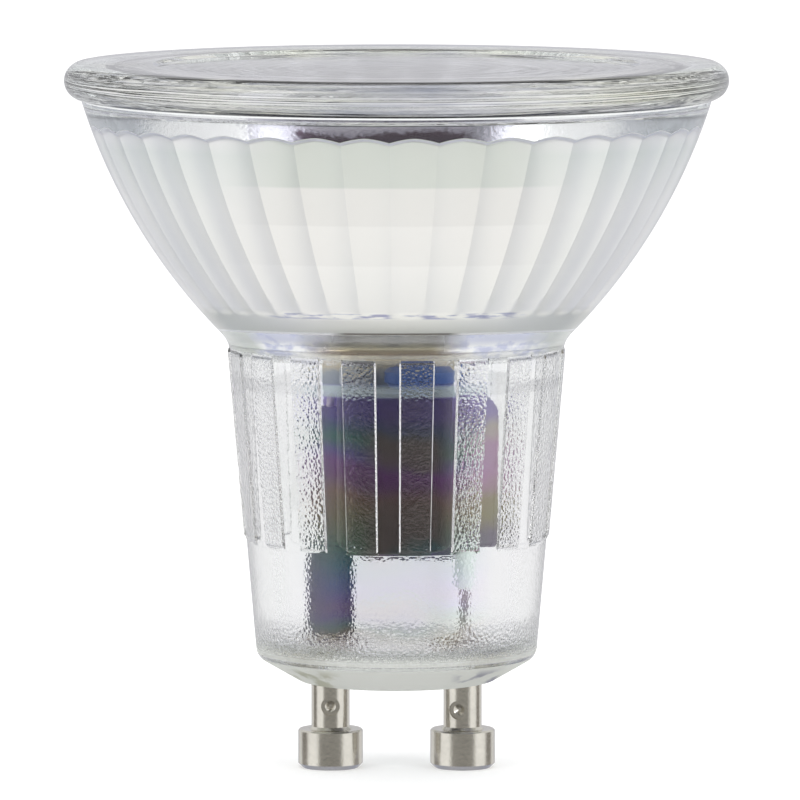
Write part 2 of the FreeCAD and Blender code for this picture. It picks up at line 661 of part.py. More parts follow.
def tabbed_block(corners, tabs, tab_width):
    """A moulded body with flat tabs on its left and right sides, which lie on the board."""
    low, high = corners
    solid = bevelled_box(low, high, BODY_BEVEL)
    pitch = (high.z - low.z) / tabs
    for i in range(tabs):
        middle_z = low.z + (i + 0.5) * pitch
        tab = box(Vector(low.x - TAB_REACH, low.y, middle_z - tab_width / 2),
                  Vector(high.x + TAB_REACH, low.y + TAB_THICKNESS, middle_z + tab_width / 2))
        solid = solid.fuse(tab)
    return solid


def bridge_rectifier():
    corners = on_back(RECTIFIER_X, RECTIFIER_Z, RECTIFIER_WIDTH, RECTIFIER_HEIGHT, RECTIFIER_DEPTH)
    return tabbed_block(corners, 2, RECTIFIER_TAB_WIDTH)


def control_chip():
    corners = on_back(CONTROL_CHIP_X, CONTROL_CHIP_Z, CONTROL_CHIP_WIDTH, CONTROL_CHIP_HEIGHT,
                      CONTROL_CHIP_DEPTH)
    return tabbed_block(corners, 4, CONTROL_CHIP_TAB_WIDTH)


def rectifier_diode():
    corners = on_back(DIODE_X, DIODE_Z, DIODE_WIDTH, DIODE_HEIGHT, DIODE_DEPTH)
    return bevelled_box(*corners, BODY_BEVEL)


def chip_resistors():
    blocks = []
    for i in range(RESISTOR_COUNT):
        z = RESISTOR_LOW_Z + i * RESISTOR_PITCH
        blocks.append(box(*on_back(RESISTOR_X, z, RESISTOR_WIDTH, RESISTOR_HEIGHT, RESISTOR_DEPTH)))
    return Part.makeCompound(blocks)


def input_choke():
    """A bead of ferrite with bevelled ends, lying across the back of the board."""
    start = Vector(CHOKE_X - CHOKE_LENGTH / 2, DRIVER_BACK_Y + CHOKE_R, CHOKE_Z)
    choke = Part.makeCylinder(CHOKE_R, CHOKE_LENGTH, start, X_AXIS)
    ends = [e for e in choke.Edges if e.BoundBox.XLength < SLIP]
    return choke.makeChamfer(CHOKE_BEVEL, ends)


def fuse_resistor():
    """Ceramic rod with pressed end caps and a slimmer middle."""
    x = -PIN_SPACING / 2
    rod = turned(bevelled_path(
        [at(0, FUSE_BOTTOM_Z), at(FUSE_R, FUSE_BOTTOM_Z), at(FUSE_R, FUSE_BOTTOM_Z + FUSE_CAP),
         at(FUSE_WAIST_R, FUSE_BOTTOM_Z + FUSE_CAP + SLEEVE_WALL),
         at(FUSE_WAIST_R, FUSE_TOP_Z - FUSE_CAP - SLEEVE_WALL), at(FUSE_R, FUSE_TOP_Z - FUSE_CAP),
         at(FUSE_R, FUSE_TOP_Z), at(0, FUSE_TOP_Z), at(0, FUSE_BOTTOM_Z)],
        [SMALL_PART_BEVEL, 0, 0, 0, 0, SMALL_PART_BEVEL, 0]))
    rod.translate(X_AXIS * x)
    return rod


def fuse_leads():
    """Lower wire down into the left pin, upper wire up the sleeve and back through the driver board."""
    x = -PIN_SPACING / 2
    lower = tube(WIRE_R, 0, WIRE_BOTTOM_Z, FUSE_BOTTOM_Z, x, 0)
    route = [(x, 0, FUSE_TOP_Z), (x, 0, FUSE_WIRE_HOLE_Z),
             (x, DRIVER_BACK_Y + WIRE_OUT, FUSE_WIRE_HOLE_Z)]
    upper = bent_wire(route, WIRE_R, [FUSE_WIRE_BEND_R])
    return Part.makeCompound([lower, upper])


def fuse_sleeve():
    """Shrunk sleeve: wide over the resistor, necked down above it to a narrow tube round the wire."""
    wide = FUSE_R + LOOSE
    narrow = WIRE_R + LOOSE
    neck_low_z = FUSE_TOP_Z + LOOSE
    neck_high_z = neck_low_z + SLEEVE_NECK_LENGTH
    wall = SLEEVE_WALL
    outline = [at(wide, FUSE_BOTTOM_Z), at(wide + wall, FUSE_BOTTOM_Z), at(wide + wall, neck_low_z),
               at(narrow + FUSE_SLEEVE_NECK_WALL, neck_high_z),
               at(narrow + FUSE_SLEEVE_NECK_WALL, FUSE_SLEEVE_TOP_Z), at(narrow, FUSE_SLEEVE_TOP_Z),
               at(narrow, neck_high_z), at(wide, neck_low_z), at(wide, FUSE_BOTTOM_Z)]
    sleeve = turned(bevelled_path(outline, [0, wall * 2, wall * 2, 0, 0, 0, 0]))
    sleeve.translate(X_AXIS * (-PIN_SPACING / 2))
    return sleeve


def right_lead():
    """Wire out of the right pin, with a slight kink below its sleeve, up and back through the board."""
    x = right_lead_x()
    route = [(PIN_SPACING / 2, 0, WIRE_BOTTOM_Z), (PIN_SPACING / 2, 0, RIGHT_KINK_LOW_Z),
             (x, RIGHT_LEAD_Y, RIGHT_KINK_HIGH_Z), (x, RIGHT_LEAD_Y, WIRE_HOLE_Z),
             (x, DRIVER_BACK_Y + WIRE_OUT, WIRE_HOLE_Z)]
    return bent_wire(route, WIRE_R, [KINK_BEND_R, KINK_BEND_R, WIRE_BEND_R - SLIP])


def right_lead_sleeve():
    return tube(RIGHT_SLEEVE_R, WIRE_R + LOOSE, RIGHT_SLEEVE_BOTTOM_Z, RIGHT_SLEEVE_TOP_Z,
                right_lead_x(), RIGHT_LEAD_Y)


def solder_joints():
    """A small cone of solder round each wire end on the back of the driver board."""
    joints = []
    for x, z, radius in wire_holes():
        foot = Vector(x, DRIVER_BACK_Y, z)
        cone = Part.makeCone(SOLDER_R, SOLDER_TOP_R, SOLDER_HEIGHT, foot, Y_AXIS)
        bore = Part.makeCylinder(radius + SOLDER_GAP, SOLDER_HEIGHT, foot, Y_AXIS)
        joints.append(cone.cut(bore))
    return Part.makeCompound(joints)


def tongue_solder():
    """Four wedges of solder that join the tongue to the LED board, two on each face."""
    joints = []
    for x in (-TONGUE_SOLDER_X, TONGUE_SOLDER_X):
        for face_y, side in ((DRIVER_FRONT_Y, -1), (DRIVER_BACK_Y, 1)):
            low = Vector(x - TONGUE_SOLDER_WIDTH / 2, face_y, LED_BOARD_TOP_Z)
            foot = low + Vector(0, side * TONGUE_SOLDER_REACH, 0)
            top = low + Z_AXIS * TONGUE_SOLDER_HEIGHT
            wedge = Part.Face(Part.makePolygon([low, foot, top, low]))
            joints.append(wedge.extrude(X_AXIS * TONGUE_SOLDER_WIDTH))
    return Part.makeCompound(joints)


def contact_pin(side, x):
    """Turned pin: headed foot, hollow shank through the glass floor, top end flared over the washer."""
    flare_top_z = FLARE_BOTTOM_Z + FLARE_HEIGHT
    outline = [at(0, 0), at(FOOT_R - FOOT_CHAMFER, 0), at(FOOT_R, FOOT_CHAMFER),
               at(FOOT_R, FOOT_HEIGHT - FOOT_TOP_CHAMFER), at(FOOT_R - FOOT_TOP_CHAMFER, FOOT_HEIGHT),
               at(SHANK_R, FOOT_HEIGHT), at(SHANK_R, FLARE_BOTTOM_Z), at(FLARE_R, FLARE_BOTTOM_Z),
               at(FLARE_R, flare_top_z), at(PIN_BORE_R, flare_top_z), at(PIN_BORE_R, PIN_BORE_FLOOR),
               at(0, PIN_BORE_FLOOR), at(0, 0)]
    bevels = [0, 0, 0, 0, SHANK_BEVEL, 0, 0, FLARE_HEIGHT / 2, FLARE_HEIGHT / 2, 0, 0]
    pin = turned(bevelled_path(outline, bevels))
    mark_floor = Vector(0, -CRIMP_FLOOR, CRIMP_HEIGHTS[side])
    mark = Part.makeCylinder(CRIMP_R, SHANK_R, mark_floor, Y_AXIS * -1)
    pit = Part.makeCone(CRIMP_PIT_R, CRIMP_PIT_TIP_R, CRIMP_PIT_DEPTH, mark_floor, Y_AXIS)
    crimp = mark.fuse(pit)
    crimp.rotate(Vector(0, 0, 0), Z_AXIS, CRIMP_TURNS[side])
    pin = pin.cut(crimp)
    pin.translate(X_AXIS * x)
    return pin


def rivet_washer(x):
    return tube(WASHER_R, SHANK_R + SLIP, FLOOR_Z, FLARE_BOTTOM_Z, x, 0)


def all_parts():
    half = PIN_SPACING / 2
    return {
        "glass_envelope": glass_envelope(),
        "front_lens": front_lens(),
        "lens_seal": lens_seal(),
        "led_board": led_board(),
        "led_chips": led_chips(),
        "board_adhesive": board_adhesive(),
        "tongue_solder": tongue_solder(),
        "driver_board": driver_board(),
        "capacitor_can": capacitor_can(),
        "capacitor_sleeve": capacitor_sleeve(),
        "capacitor_bung": capacitor_bung(),
        "capacitor_legs": capacitor_legs(),
        "varistor": varistor(),
        "film_capacitor": film_capacitor(),
        "transformer_core": transformer_core(),
        "transformer_bobbin": transformer_bobbin(),
        "transformer_winding": transformer_winding(),
        "bridge_rectifier": bridge_rectifier(),
        "control_chip": control_chip(),
        "rectifier_diode": rectifier_diode(),
        "chip_resistors": chip_resistors(),
        "input_choke": input_choke(),
        "solder_joints": solder_joints(),
        "fuse_resistor": fuse_resistor(),
        "fuse_leads": fuse_leads(),
        "fuse_sleeve": fuse_sleeve(),
        "right_lead": right_lead(),
        "right_lead_sleeve": right_lead_sleeve(),
        "contact_pin_left": contact_pin("left", -half),
        "contact_pin_right": contact_pin("right", half),
        "rivet_washer_left": rivet_washer(-half),
        "rivet_washer_right": rivet_washer(half),
    }


os.makedirs("parts", exist_ok=True)
for name, shape in all_parts().items():
    shape.exportStep("parts/" + name + ".step")
    print(name, "solids", len(shape.Solids), "valid", shape.isValid(), "volume", round(shape.Volume, 2))
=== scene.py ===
# %% [markdown]
# # A reflector spotlight bulb of pressed glass
# The real bulb is one pressed-glass body: a cup with flutes inside it, a ribbed neck and a floor with two
# riveted pins. A mirror film covers the inside of the cup, a lens closes its mouth, and an upright driver
# board stands in the clear neck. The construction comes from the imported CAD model. This script gives every
# piece its finish, and makes again, with smooth and finely divided surfaces, those whose form carries the
# look of glass: light bends at every facet, so a coarse wall would show at once.

# %% Load the frame
import bpy
import bmesh
import json
import math
import numpy as np
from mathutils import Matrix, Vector
from mathutils.geometry import delaunay_2d_cdt

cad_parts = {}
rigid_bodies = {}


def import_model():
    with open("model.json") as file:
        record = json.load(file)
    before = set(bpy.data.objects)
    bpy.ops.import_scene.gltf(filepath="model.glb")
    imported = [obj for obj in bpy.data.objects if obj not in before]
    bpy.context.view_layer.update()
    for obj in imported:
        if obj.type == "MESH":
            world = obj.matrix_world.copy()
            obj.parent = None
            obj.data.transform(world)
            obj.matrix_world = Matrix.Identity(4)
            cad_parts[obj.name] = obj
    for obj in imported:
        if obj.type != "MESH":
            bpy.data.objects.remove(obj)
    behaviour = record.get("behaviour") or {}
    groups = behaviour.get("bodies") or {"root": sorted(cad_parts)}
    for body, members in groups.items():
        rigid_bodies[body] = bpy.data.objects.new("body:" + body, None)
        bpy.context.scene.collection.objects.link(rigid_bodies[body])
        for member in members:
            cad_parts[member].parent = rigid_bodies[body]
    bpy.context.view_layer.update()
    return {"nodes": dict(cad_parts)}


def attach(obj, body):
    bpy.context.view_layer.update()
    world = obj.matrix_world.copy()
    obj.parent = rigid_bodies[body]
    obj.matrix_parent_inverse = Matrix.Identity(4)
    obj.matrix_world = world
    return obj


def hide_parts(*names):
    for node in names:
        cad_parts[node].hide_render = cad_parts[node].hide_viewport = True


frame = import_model()
nodes = frame["nodes"]
MM = 0.001
TAU = 2 * math.pi


# %% [markdown]
# ## Camera
# The photograph was taken from a little above the bulb with a long lens, so the rim is a thin ellipse and
# the neck hardly narrows towards its foot. The camera stands at that distance and height. The bulb's axis
# lies slightly left of the picture's middle, so the camera stands slightly to the right of the axis.

# %% Camera
CAMERA_DISTANCE_MM = 651.73
CAMERA_HEIGHT_MM = 92.72
CAMERA_ASIDE_MM = 0.26
CAMERA_PITCH = math.radians(5.677)
FOCAL_PIXELS = 8677.5
PICTURE_PIXELS = 800
SENSOR_MM = 36.0

camera_data = bpy.data.cameras.new("camera")
camera_data.sensor_width = SENSOR_MM
camera_data.lens = FOCAL_PIXELS / PICTURE_PIXELS * SENSOR_MM
camera_data.clip_start = 0.05
camera = bpy.data.objects.new("camera", camera_data)
camera.location = Vector((CAMERA_ASIDE_MM, -CAMERA_DISTANCE_MM, CAMERA_HEIGHT_MM)) * MM
camera.rotation_euler = (math.pi / 2 - CAMERA_PITCH, 0, 0)
bpy.context.scene.collection.objects.link(camera)
bpy.context.scene.camera = camera
bpy.context.scene.view_settings.view_transform = "Standard"
print("lens", round(camera_data.lens, 1), "mm")


# %% [markdown]
# ## From arrays to a mesh
# Every new piece here is a grid of points worked out with numpy. A grid that closes on itself in one
# direction is a tube; where its end rows shrink to a point the doubled vertices are merged, which leaves a
# closed pole of triangles. Edges sharper than a set angle stay sharp, the rest are shaded smooth.

# %% Helpers for meshes
MERGE_METRES = 1e-8


def grid_quads(rows, columns, first=0):
    """Corner numbers of the quads of a grid whose columns close on themselves. Corner (i, j) is number
    first + i * columns + j, and each quad joins rows i and i + 1 and columns j and j + 1."""
    i, j = np.meshgrid(np.arange(rows - 1), np.arange(columns), indexing="ij")
    k = (j + 1) % columns
    corners = [i * columns + j, i * columns + k, (i + 1) * columns + k, (i + 1) * columns + j]
    return first + np.stack(corners, axis=-1).reshape(-1, 4)


def ring_points(radius, angle, height):
    """Points in millimetres from polar arrays: x = radius cos angle, y = radius sin angle, z = height."""
    radius, angle, height = np.broadcast_arrays(radius, angle, height)
    return np.stack([radius * np.cos(angle), radius * np.sin(angle), height], axis=-1).reshape(-1, 3)


def piece(name, points, faces, materials, face_materials=None, sharp=30.0, attributes=None):
    """A piece of the bulb from points in millimetres and a list of faces; it rides the frame."""
    mesh = bpy.data.meshes.new(name)
    mesh.from_pydata((np.asarray(points) * MM).tolist(), [], [list(map(int, f)) for f in faces])
    if face_materials is not None:
        mesh.polygons.foreach_set("material_index", np.asarray(face_materials, np.int32))
    for key, values in (attributes or {}).items():
        mesh.attributes.new(key, "FLOAT", "POINT").data.foreach_set("value", np.asarray(values, np.float32))
    shell = bmesh.new()
    shell.from_mesh(mesh)
    bmesh.ops.remove_doubles(shell, verts=shell.verts, dist=MERGE_METRES)
    bmesh.ops.recalc_face_normals(shell, faces=shell.faces)
    open_edges = sum(1 for e in shell.edges if len(e.link_faces) != 2)
    shell.to_mesh(mesh)
    shell.free()
    mesh.shade_smooth()
    mesh.set_sharp_from_angle(angle=math.radians(sharp))
    for material in materials:
        mesh.materials.append(material)
    made = bpy.data.objects.new(name, mesh)
    bpy.context.scene.collection.objects.link(made)
    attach(made, "root")
    triangles = sum(len(p.vertices) - 2 for p in mesh.polygons)
    print(f"{name}: {triangles} triangles, {open_edges} open edges")
    return made


# %% Helpers for outlines
def line_points(start, end, step):
    """Evenly spaced (radius, height) points from start up to, but not including, end."""
    count = max(1, int(np.ceil(np.linalg.norm(end - start) / step)))
    return start + (end - start) * (np.arange(count) / count)[:, None]


def short_arc(centre, start, end, radius, step):
    """Points on a circle about centre, the short way round from start up to, but not including, end."""
    first = math.atan2(*(start - centre)[::-1])
    turn = math.remainder(math.atan2(*(end - centre)[::-1]) - first, TAU)
    count = max(2, int(np.ceil(abs(turn) * radius / step)))
    angle = first + turn * np.arange(count) / count
    return centre + radius * np.stack([np.cos(angle), np.sin(angle)], axis=-1)


def rounded_line(corners, rounds, step, round_step):
    """A path of (radius, height) points through the corners, each inner corner replaced by a tangent arc.
    Where the path turns by 2a, an arc of radius r leaves it r tan a before the corner."""
    corners = [np.array(c, float) for c in corners]
    parts, start = [], corners[0]
    for before, corner, after, bend in zip(corners, corners[1:], corners[2:], rounds):
        back = (before - corner) / np.linalg.norm(before - corner)
        ahead = (after - corner) / np.linalg.norm(after - corner)
        half_turn = (math.pi - math.acos(np.clip(back @ ahead, -1, 1))) / 2
        reach = bend * math.tan(half_turn)
        arc_start, arc_end = corner + back * reach, corner + ahead * reach
        parts.append(line_points(start, arc_start, step))
        if bend:
            middle = corner + (back + ahead) / np.linalg.norm(back + ahead) * (bend / math.cos(half_turn))
            parts.append(short_arc(middle, arc_start, arc_end, bend, round_step))
        start = arc_end
    parts += [line_points(start, corners[-1], step), corners[-1][None]]
    return np.concatenate(parts)


def turned_piece(name, outline, columns, material, axis=(0.0, 0.0)):
    """A piece made by turning a closed outline of (radius, height) points about an upright axis."""
    angle = np.arange(columns) * TAU / columns
    points = ring_points(outline[:, :1], angle[None], outline[:, 1:]) + np.array([*axis, 0.0])
    return piece(name, points, grid_quads(len(outline), columns), [material])


# %% [markdown]
# ## Nodes in a few words
# A finish is a tree of nodes, and most of its nodes are of a few kinds: noise, arithmetic, a ramp of colours
# and a fade between two values. One small helper for each kind adds the node, links what goes into it and
# gives back its output, so that a finish reads as a list of what it does. Places come in metres, as Blender
# has them, and the helpers take the limits in millimetres.

# %% Helpers for nodes
def rgba(colour):
    """A colour with full alpha; a single number is a grey."""
    return (colour, colour, colour, 1) if isinstance(colour, (int, float)) else (*colour, 1)


def put(tree, value, socket):
    """Links another socket to this one, or writes a number or a colour into it."""
    if isinstance(value, bpy.types.NodeSocket):
        tree.links.new(value, socket)
    else:
        socket.default_value = rgba(value) if socket.type == "RGBA" else value


def fill(tree, node, **settings):
    """Sets the node's property of each name, or puts the value into its input of that name, in which an
    underscore stands for a space."""
    for key, value in settings.items():
        if hasattr(node, key):
            setattr(node, key, value)
        else:
            put(tree, value, node.inputs[key.replace("_", " ")])
    return node


def add(tree, kind, **settings):
    """Adds a shader node of this kind and fills it."""
    return fill(tree, tree.nodes.new("ShaderNode" + kind), **settings)


# %% Sums and mixes
def maths(tree, operation, first, *others):
    """Math nodes in a row: the operation joins the first operand to the next, that result to the next."""
    for other in others or (0.0,):
        node = add(tree, "Math", operation=operation)
        put(tree, first, node.inputs[0])
        put(tree, other, node.inputs[1])
        first = node.outputs[0]
    return first


def times(tree, *factors):
    """The product of sockets and numbers."""
    return maths(tree, "MULTIPLY", *factors)


def plus(tree, *terms):
    """The sum of sockets and numbers."""
    return maths(tree, "ADD", *terms)


def colour_mix(tree, factor, first, second):
    """Mixes two colours by a factor; each of the three is a socket or a value."""
    node = add(tree, "Mix", data_type="RGBA")
    for index, value in ((0, factor), (6, first), (7, second)):
        put(tree, value, node.inputs[index])
    return node.outputs[2]


def shader_mix(tree, factor, first, second):
    """Mixes the outputs of two shaders by a factor."""
    node = add(tree, "MixShader")
    for socket, value in zip(node.inputs, (factor, first, second)):
        put(tree, value, socket)
    return node.outputs[0]


# %% Noise, fades and ramps
def noise(tree, place, scale, detail):
    """Noise about 0.5, with this many lumps to a metre."""
    return add(tree, "TexNoise", Vector=place, Scale=scale, Detail=detail).outputs[0]


def drift(tree, lumps, reach):
    """A shift of a place: the noise less a half, times the reach in millimetres."""
    return times(tree, maths(tree, "SUBTRACT", lumps, 0.5), reach * MM)


def fade(tree, value, start, end, first=0.0, last=1.0):
    """Goes from first to last while the value goes from start to end, and stays level outside them."""
    node = add(tree, "MapRange", Value=value, From_Min=start, From_Max=end, To_Min=first, To_Max=last)
    return node.outputs[0]


def fade_mm(tree, place, start, end, first=0.0, last=1.0):
    """A fade over a place, with start and end in millimetres."""
    return fade(tree, place, start * MM, end * MM, first, last)


def distance(tree, place, centre=0.0):
    """How far the place is from centre, which is in millimetres."""
    return maths(tree, "ABSOLUTE", maths(tree, "SUBTRACT", place, centre * MM))


def colour_ramp(tree, share, low, high, stops):
    """A colour ramp over a share of the way from low to high; stops are (value, colour) pairs."""
    ramp = add(tree, "ValToRGB", Fac=share)
    points = ramp.color_ramp.elements
    while len(points) < len(stops):
        points.new(0.5)
    for point, (value, colour) in zip(points, stops):
        point.position = (value - low) / (high - low)
        point.color = rgba(colour)
    return ramp.outputs[0]


def place_ramp(tree, place, low, high, stops):
    """A colour ramp over a place from low to high, with all of them in millimetres."""
    return colour_ramp(tree, fade_mm(tree, place, low, high), low, high, stops)


# %% Places, bumps and materials
def places(tree):
    """The place on the piece, as a vector and split into X, Y and Z."""
    place = add(tree, "TexCoord").outputs["Object"]
    return place, add(tree, "SeparateXYZ", Vector=place).outputs


def bumps(tree, height, strength, depth, **below):
    """A normal bent by a height between 0 and 1, which stands for this depth in millimetres."""
    return add(tree, "Bump", Height=height, Strength=strength, Distance=depth * MM, **below).outputs[0]


def new_material(name):
    """A new material, with its node tree and its Principled shader."""
    material = bpy.data.materials.new(name)
    material.use_nodes = True
    return material, material.node_tree, material.node_tree.nodes["Principled BSDF"]


# %% [markdown]
# ## Shared effects
# Moulded, drawn and pressed surfaces are never one even colour. A node group that several finishes share
# mottles a colour with two sizes of noise and gives back a roughness that follows the same mottle. A second
# one gives the height of small pebbles, as a press tool that was etched leaves them on glass.

# %% Node groups
def new_group(name, inputs, outputs):
    """An empty shader node group, with its inputs and its output node. Its sockets are given as pairs of a
    name and a kind."""
    group = bpy.data.node_groups.new(name, "ShaderNodeTree")
    for way, sockets in (("INPUT", inputs), ("OUTPUT", outputs)):
        for socket, kind in sockets:
            group.interface.new_socket(socket, in_out=way, socket_type="NodeSocket" + kind)
    return group, group.nodes.new("NodeGroupInput").outputs, group.nodes.new("NodeGroupOutput")


def mottle_group():
    """Colour and roughness that drift over a surface. A broad noise counts 0.6 and a fine one 0.4; their
    sum less a half, times the amount, is what the colour and the roughness gain."""
    group, entry, leave = new_group(
        "mottle", [("Colour", "Color"), ("Scale", "Float"), ("Amount", "Float"), ("Roughness", "Float")],
        [("Colour", "Color"), ("Roughness", "Float")])
    place = add(group, "TexCoord").outputs["Object"]
    broad = noise(group, place, entry["Scale"], 3.0)
    fine = noise(group, place, times(group, entry["Scale"], 5.0), 2.0)
    both = plus(group, times(group, broad, 0.6), times(group, fine, 0.4))
    gain = plus(group, times(group, maths(group, "SUBTRACT", both, 0.5), entry["Amount"]), 1.0)
    tint = add(group, "VectorMath", operation="SCALE", Vector=entry["Colour"], Scale=gain)
    fill(group, leave, Colour=tint.outputs[0], Roughness=times(group, entry["Roughness"], gain))
    return group


def pebble_group():
    """Height of small pebbles: the distance to the nearest cell's middle, plus noise times the breakup."""
    group, entry, leave = new_group("pebbles", [("Scale", "Float"), ("Breakup", "Float")],
                                    [("Height", "Float")])
    place = add(group, "TexCoord").outputs["Object"]
    cells = add(group, "TexVoronoi", feature="F1", Vector=place, Scale=entry["Scale"]).outputs["Distance"]
    uneven = times(group, noise(group, place, entry["Scale"], 2.0), entry["Breakup"])
    fill(group, leave, Height=plus(group, cells, uneven))
    return group


MOTTLE = mottle_group()
PEBBLES = pebble_group()
print("node groups:", [g.name for g in bpy.data.node_groups])


# %% [markdown]
# ## Plain finishes
# Most pieces inside are opaque: lacquered, moulded, tinned or painted. They differ in colour, in how they
# shine and in the size of their grain, so one function with those as its inputs makes them all.

# %% Plain finishes
GRAIN_DEPTH = 0.03


def finish(name, colour, roughness, metallic=0.0, scale=900.0, amount=0.25, bump=0.2, bump_scale=4000.0,
           specular=0.5):
    """A material for an opaque piece: mottled colour and roughness, and a fine grain in its normals."""
    material, tree, shader = new_material(name)
    mottle = add(tree, "Group", node_tree=MOTTLE, Colour=colour, Scale=scale, Amount=amount,
                 Roughness=roughness).outputs
    grain = noise(tree, add(tree, "TexCoord").outputs["Object"], bump_scale, 3.0)
    fill(tree, shader, Metallic=metallic, Specular_IOR_Level=specular, Base_Color=mottle["Colour"],
         Roughness=mottle["Roughness"], Normal=bumps(tree, grain, bump, GRAIN_DEPTH))
    return material


def dress(node, material):
    """Gives a CAD node a better material; its mesh stays as it is."""
    mesh_object = nodes[node]
    for slot in mesh_object.material_slots:
        slot.material = material
    if not mesh_object.material_slots:
        mesh_object.data.materials.append(material)


# %% [markdown]
# ## Sizes of the glass
# Body and lens are turned about the same axis, and heights are counted from the pins' feet. These sizes
# repeat those of the CAD model, in millimetres, so that the smooth pieces fit those that stay as they are.

# %% Sizes of the glass, in millimetres
BASE_Z, FLOOR_Z = 6.75, 9.3
BASE_FLAT_R, BASE_INSET, NECK_FOOT = 7.4, 0.5, (10.57, 8.6)
NECK_TAPER = math.radians(4.95)
BASE_EDGE_ROUND, BASE_CORNER_ROUND, FLOOR_ROUND, WAIST_ROUND = 0.6, 1.1, 1.2, 2.4
BORE_TOP_R, BORE_TAPER = 9.75, math.radians(2.4)
SEAT_R, SEAT_Z = 10.9, 32.95
CONE_ARC_R, CONE_WALL = 43.47, 2.1
CONE_CENTRE = np.array([-17.81, 63.53])
MOUTH_Z, MOUTH_BEVEL = 50.65, 0.15
PIN_X, PIN_HOLE_R = 5.0, 1.5
FRONT = -math.pi / 2
RIB_COUNT, RIB_HALF_ANGLE, RIB_HEIGHT = 18, math.radians(5.75), 0.17
RIB_BOTTOM_Z, RIB_TOP_Z, RIB_PHASE = 17.4, 32.1, math.radians(7.0)
RIB_SIDE, RIB_END = math.radians(0.28), 0.5
FLUTE_COUNT, FLUTE_PHASE, FLUTE_EDGE_ANGLE = 38, math.radians(3.4), math.radians(15)
FLUTE_TOP_Z, FLUTE_ARCH_DIP, FLUTE_SHOULDER = 49.4, 0.34, 0.2
FLUTE_FOOT_Z, FLUTE_FOOT_FADE = 36.0, 0.3
LENS_LAND_Z, LENS_TOP_Z = 50.8, 53.4
LENS_LAND_R, LENS_CREST_R, LENS_R = 23.95, 24.15, 25.0
LENS_WINDOW_R, LENS_WINDOW_DEPTH, LENS_STEP = 18.0, 0.3, 0.35
print("glass from", BASE_Z, "to", LENS_TOP_Z, "mm high,", 2 * LENS_R, "mm across")

# %% [markdown]
# ## Glass
# Clear glass is a dielectric: it reflects a little, more at a grazing angle, and lets the rest through.
# Lamps have to reach what stands inside it, so the shader turns transparent for shadow rays and for light
# that bounces off a matt surface; the camera and mirror reflections still see true refraction. Light that
# enters a rounded edge is thrown to and fro inside it, so paths stay long enough for it to leave: cut short,
# they would draw black lines along every edge. Ribs and foot get pebbles from a mask the mesh carries.

# %% Glass materials
GLASS_IOR, GLASS_STAIN_SCALE = 1.5, 90.0
PEBBLE_SCALE, PEBBLE_BREAKUP, PEBBLE_DEPTH = 3900.0, 0.4, 0.058
FROST_ROUGHNESS, HAZE_SHARE = 0.6, 0.8
cycles = bpy.context.scene.cycles
cycles.max_bounces = 12
cycles.glossy_bounces = 6
cycles.transmission_bounces = 11
cycles.transparent_max_bounces = 12


# %% Glass of the lens
def lens_tint_with_painted_reflections(tree, radius, x, place, tint):
    """The lens's colour: a pale grey window, a ring at the window's step painted with reflection, dark grey
    and cream patches across the front, and a bead whose streaks are painted reflection, yellowish to the
    sides and grey at the front."""
    window = fade_mm(tree, radius, LENS_WINDOW_R - 0.1, LENS_WINDOW_R - 0.5)
    tint = colour_mix(tree, window, tint, (0.8, 0.8, 0.825))
    at_step = fade_mm(tree, distance(tree, radius, LENS_WINDOW_R + LENS_STEP - 0.2), 0.4, 0.15)
    # Painted reflection on the step: dark grey and cream patches across the front.
    step_painted_reflection = place_ramp(tree, x, -26, 26, (
        (-12, (0.9, 0.9, 0.88)), (-8, (0.95, 0.95, 0.75)), (-4, (0.5, 0.51, 0.5)),
        (0, (0.9, 0.9, 0.72)), (4, (0.45, 0.45, 0.47)), (8, (0.92, 0.92, 0.74)), (12, (0.9, 0.9, 0.88))))
    tint = colour_mix(tree, at_step, tint, step_painted_reflection)
    streak = fade(tree, noise(tree, place, 1300.0, 3.0), 0.36, 0.62)
    bead = fade_mm(tree, radius, 22.6, 23.8)
    # Painted reflection on the bead, in streaks: grey at the front, yellowish to the sides.
    bead_painted_reflection = place_ramp(tree, x, -26, 26, (
        (-25, (0.86, 0.89, 0.88)), (-17, (0.93, 0.94, 0.86)), (-13, (0.95, 0.95, 0.78)),
        (-8, (0.84, 0.85, 0.76)), (-3.5, (0.4, 0.43, 0.5)), (2.5, (0.34, 0.37, 0.46)),
        (6, (0.84, 0.85, 0.84)), (12, (0.93, 0.93, 0.82)), (18, (0.86, 0.87, 0.66)),
        (25, (0.82, 0.85, 0.76))))
    return colour_mix(tree, times(tree, streak, bead), tint, bead_painted_reflection)


# %% Haze of the base
def base_haze(tree, place, split):
    """The matt haze of the frosted base, with darker patches beside the pins: olive on the left, blue-grey
    on the right."""
    lumps = fade(tree, noise(tree, place, 500.0, 3.0), 0.48, 0.58)
    by_pin = fade_mm(tree, distance(tree, maths(tree, "ABSOLUTE", split["X"]), PIN_X + 1.2), 2.2, 1.0)
    low = fade_mm(tree, split["Z"], 8.5, 7.9, last=0.8)
    side = fade_mm(tree, split["X"], -1.0, 1.0)
    shade = colour_mix(tree, side, (0.34, 0.34, 0.24), (0.16, 0.16, 0.24))
    colour = colour_mix(tree, times(tree, lumps, by_pin, low), (0.66, 0.67, 0.63), shade)
    return add(tree, "BsdfDiffuse", Color=colour).outputs[0]


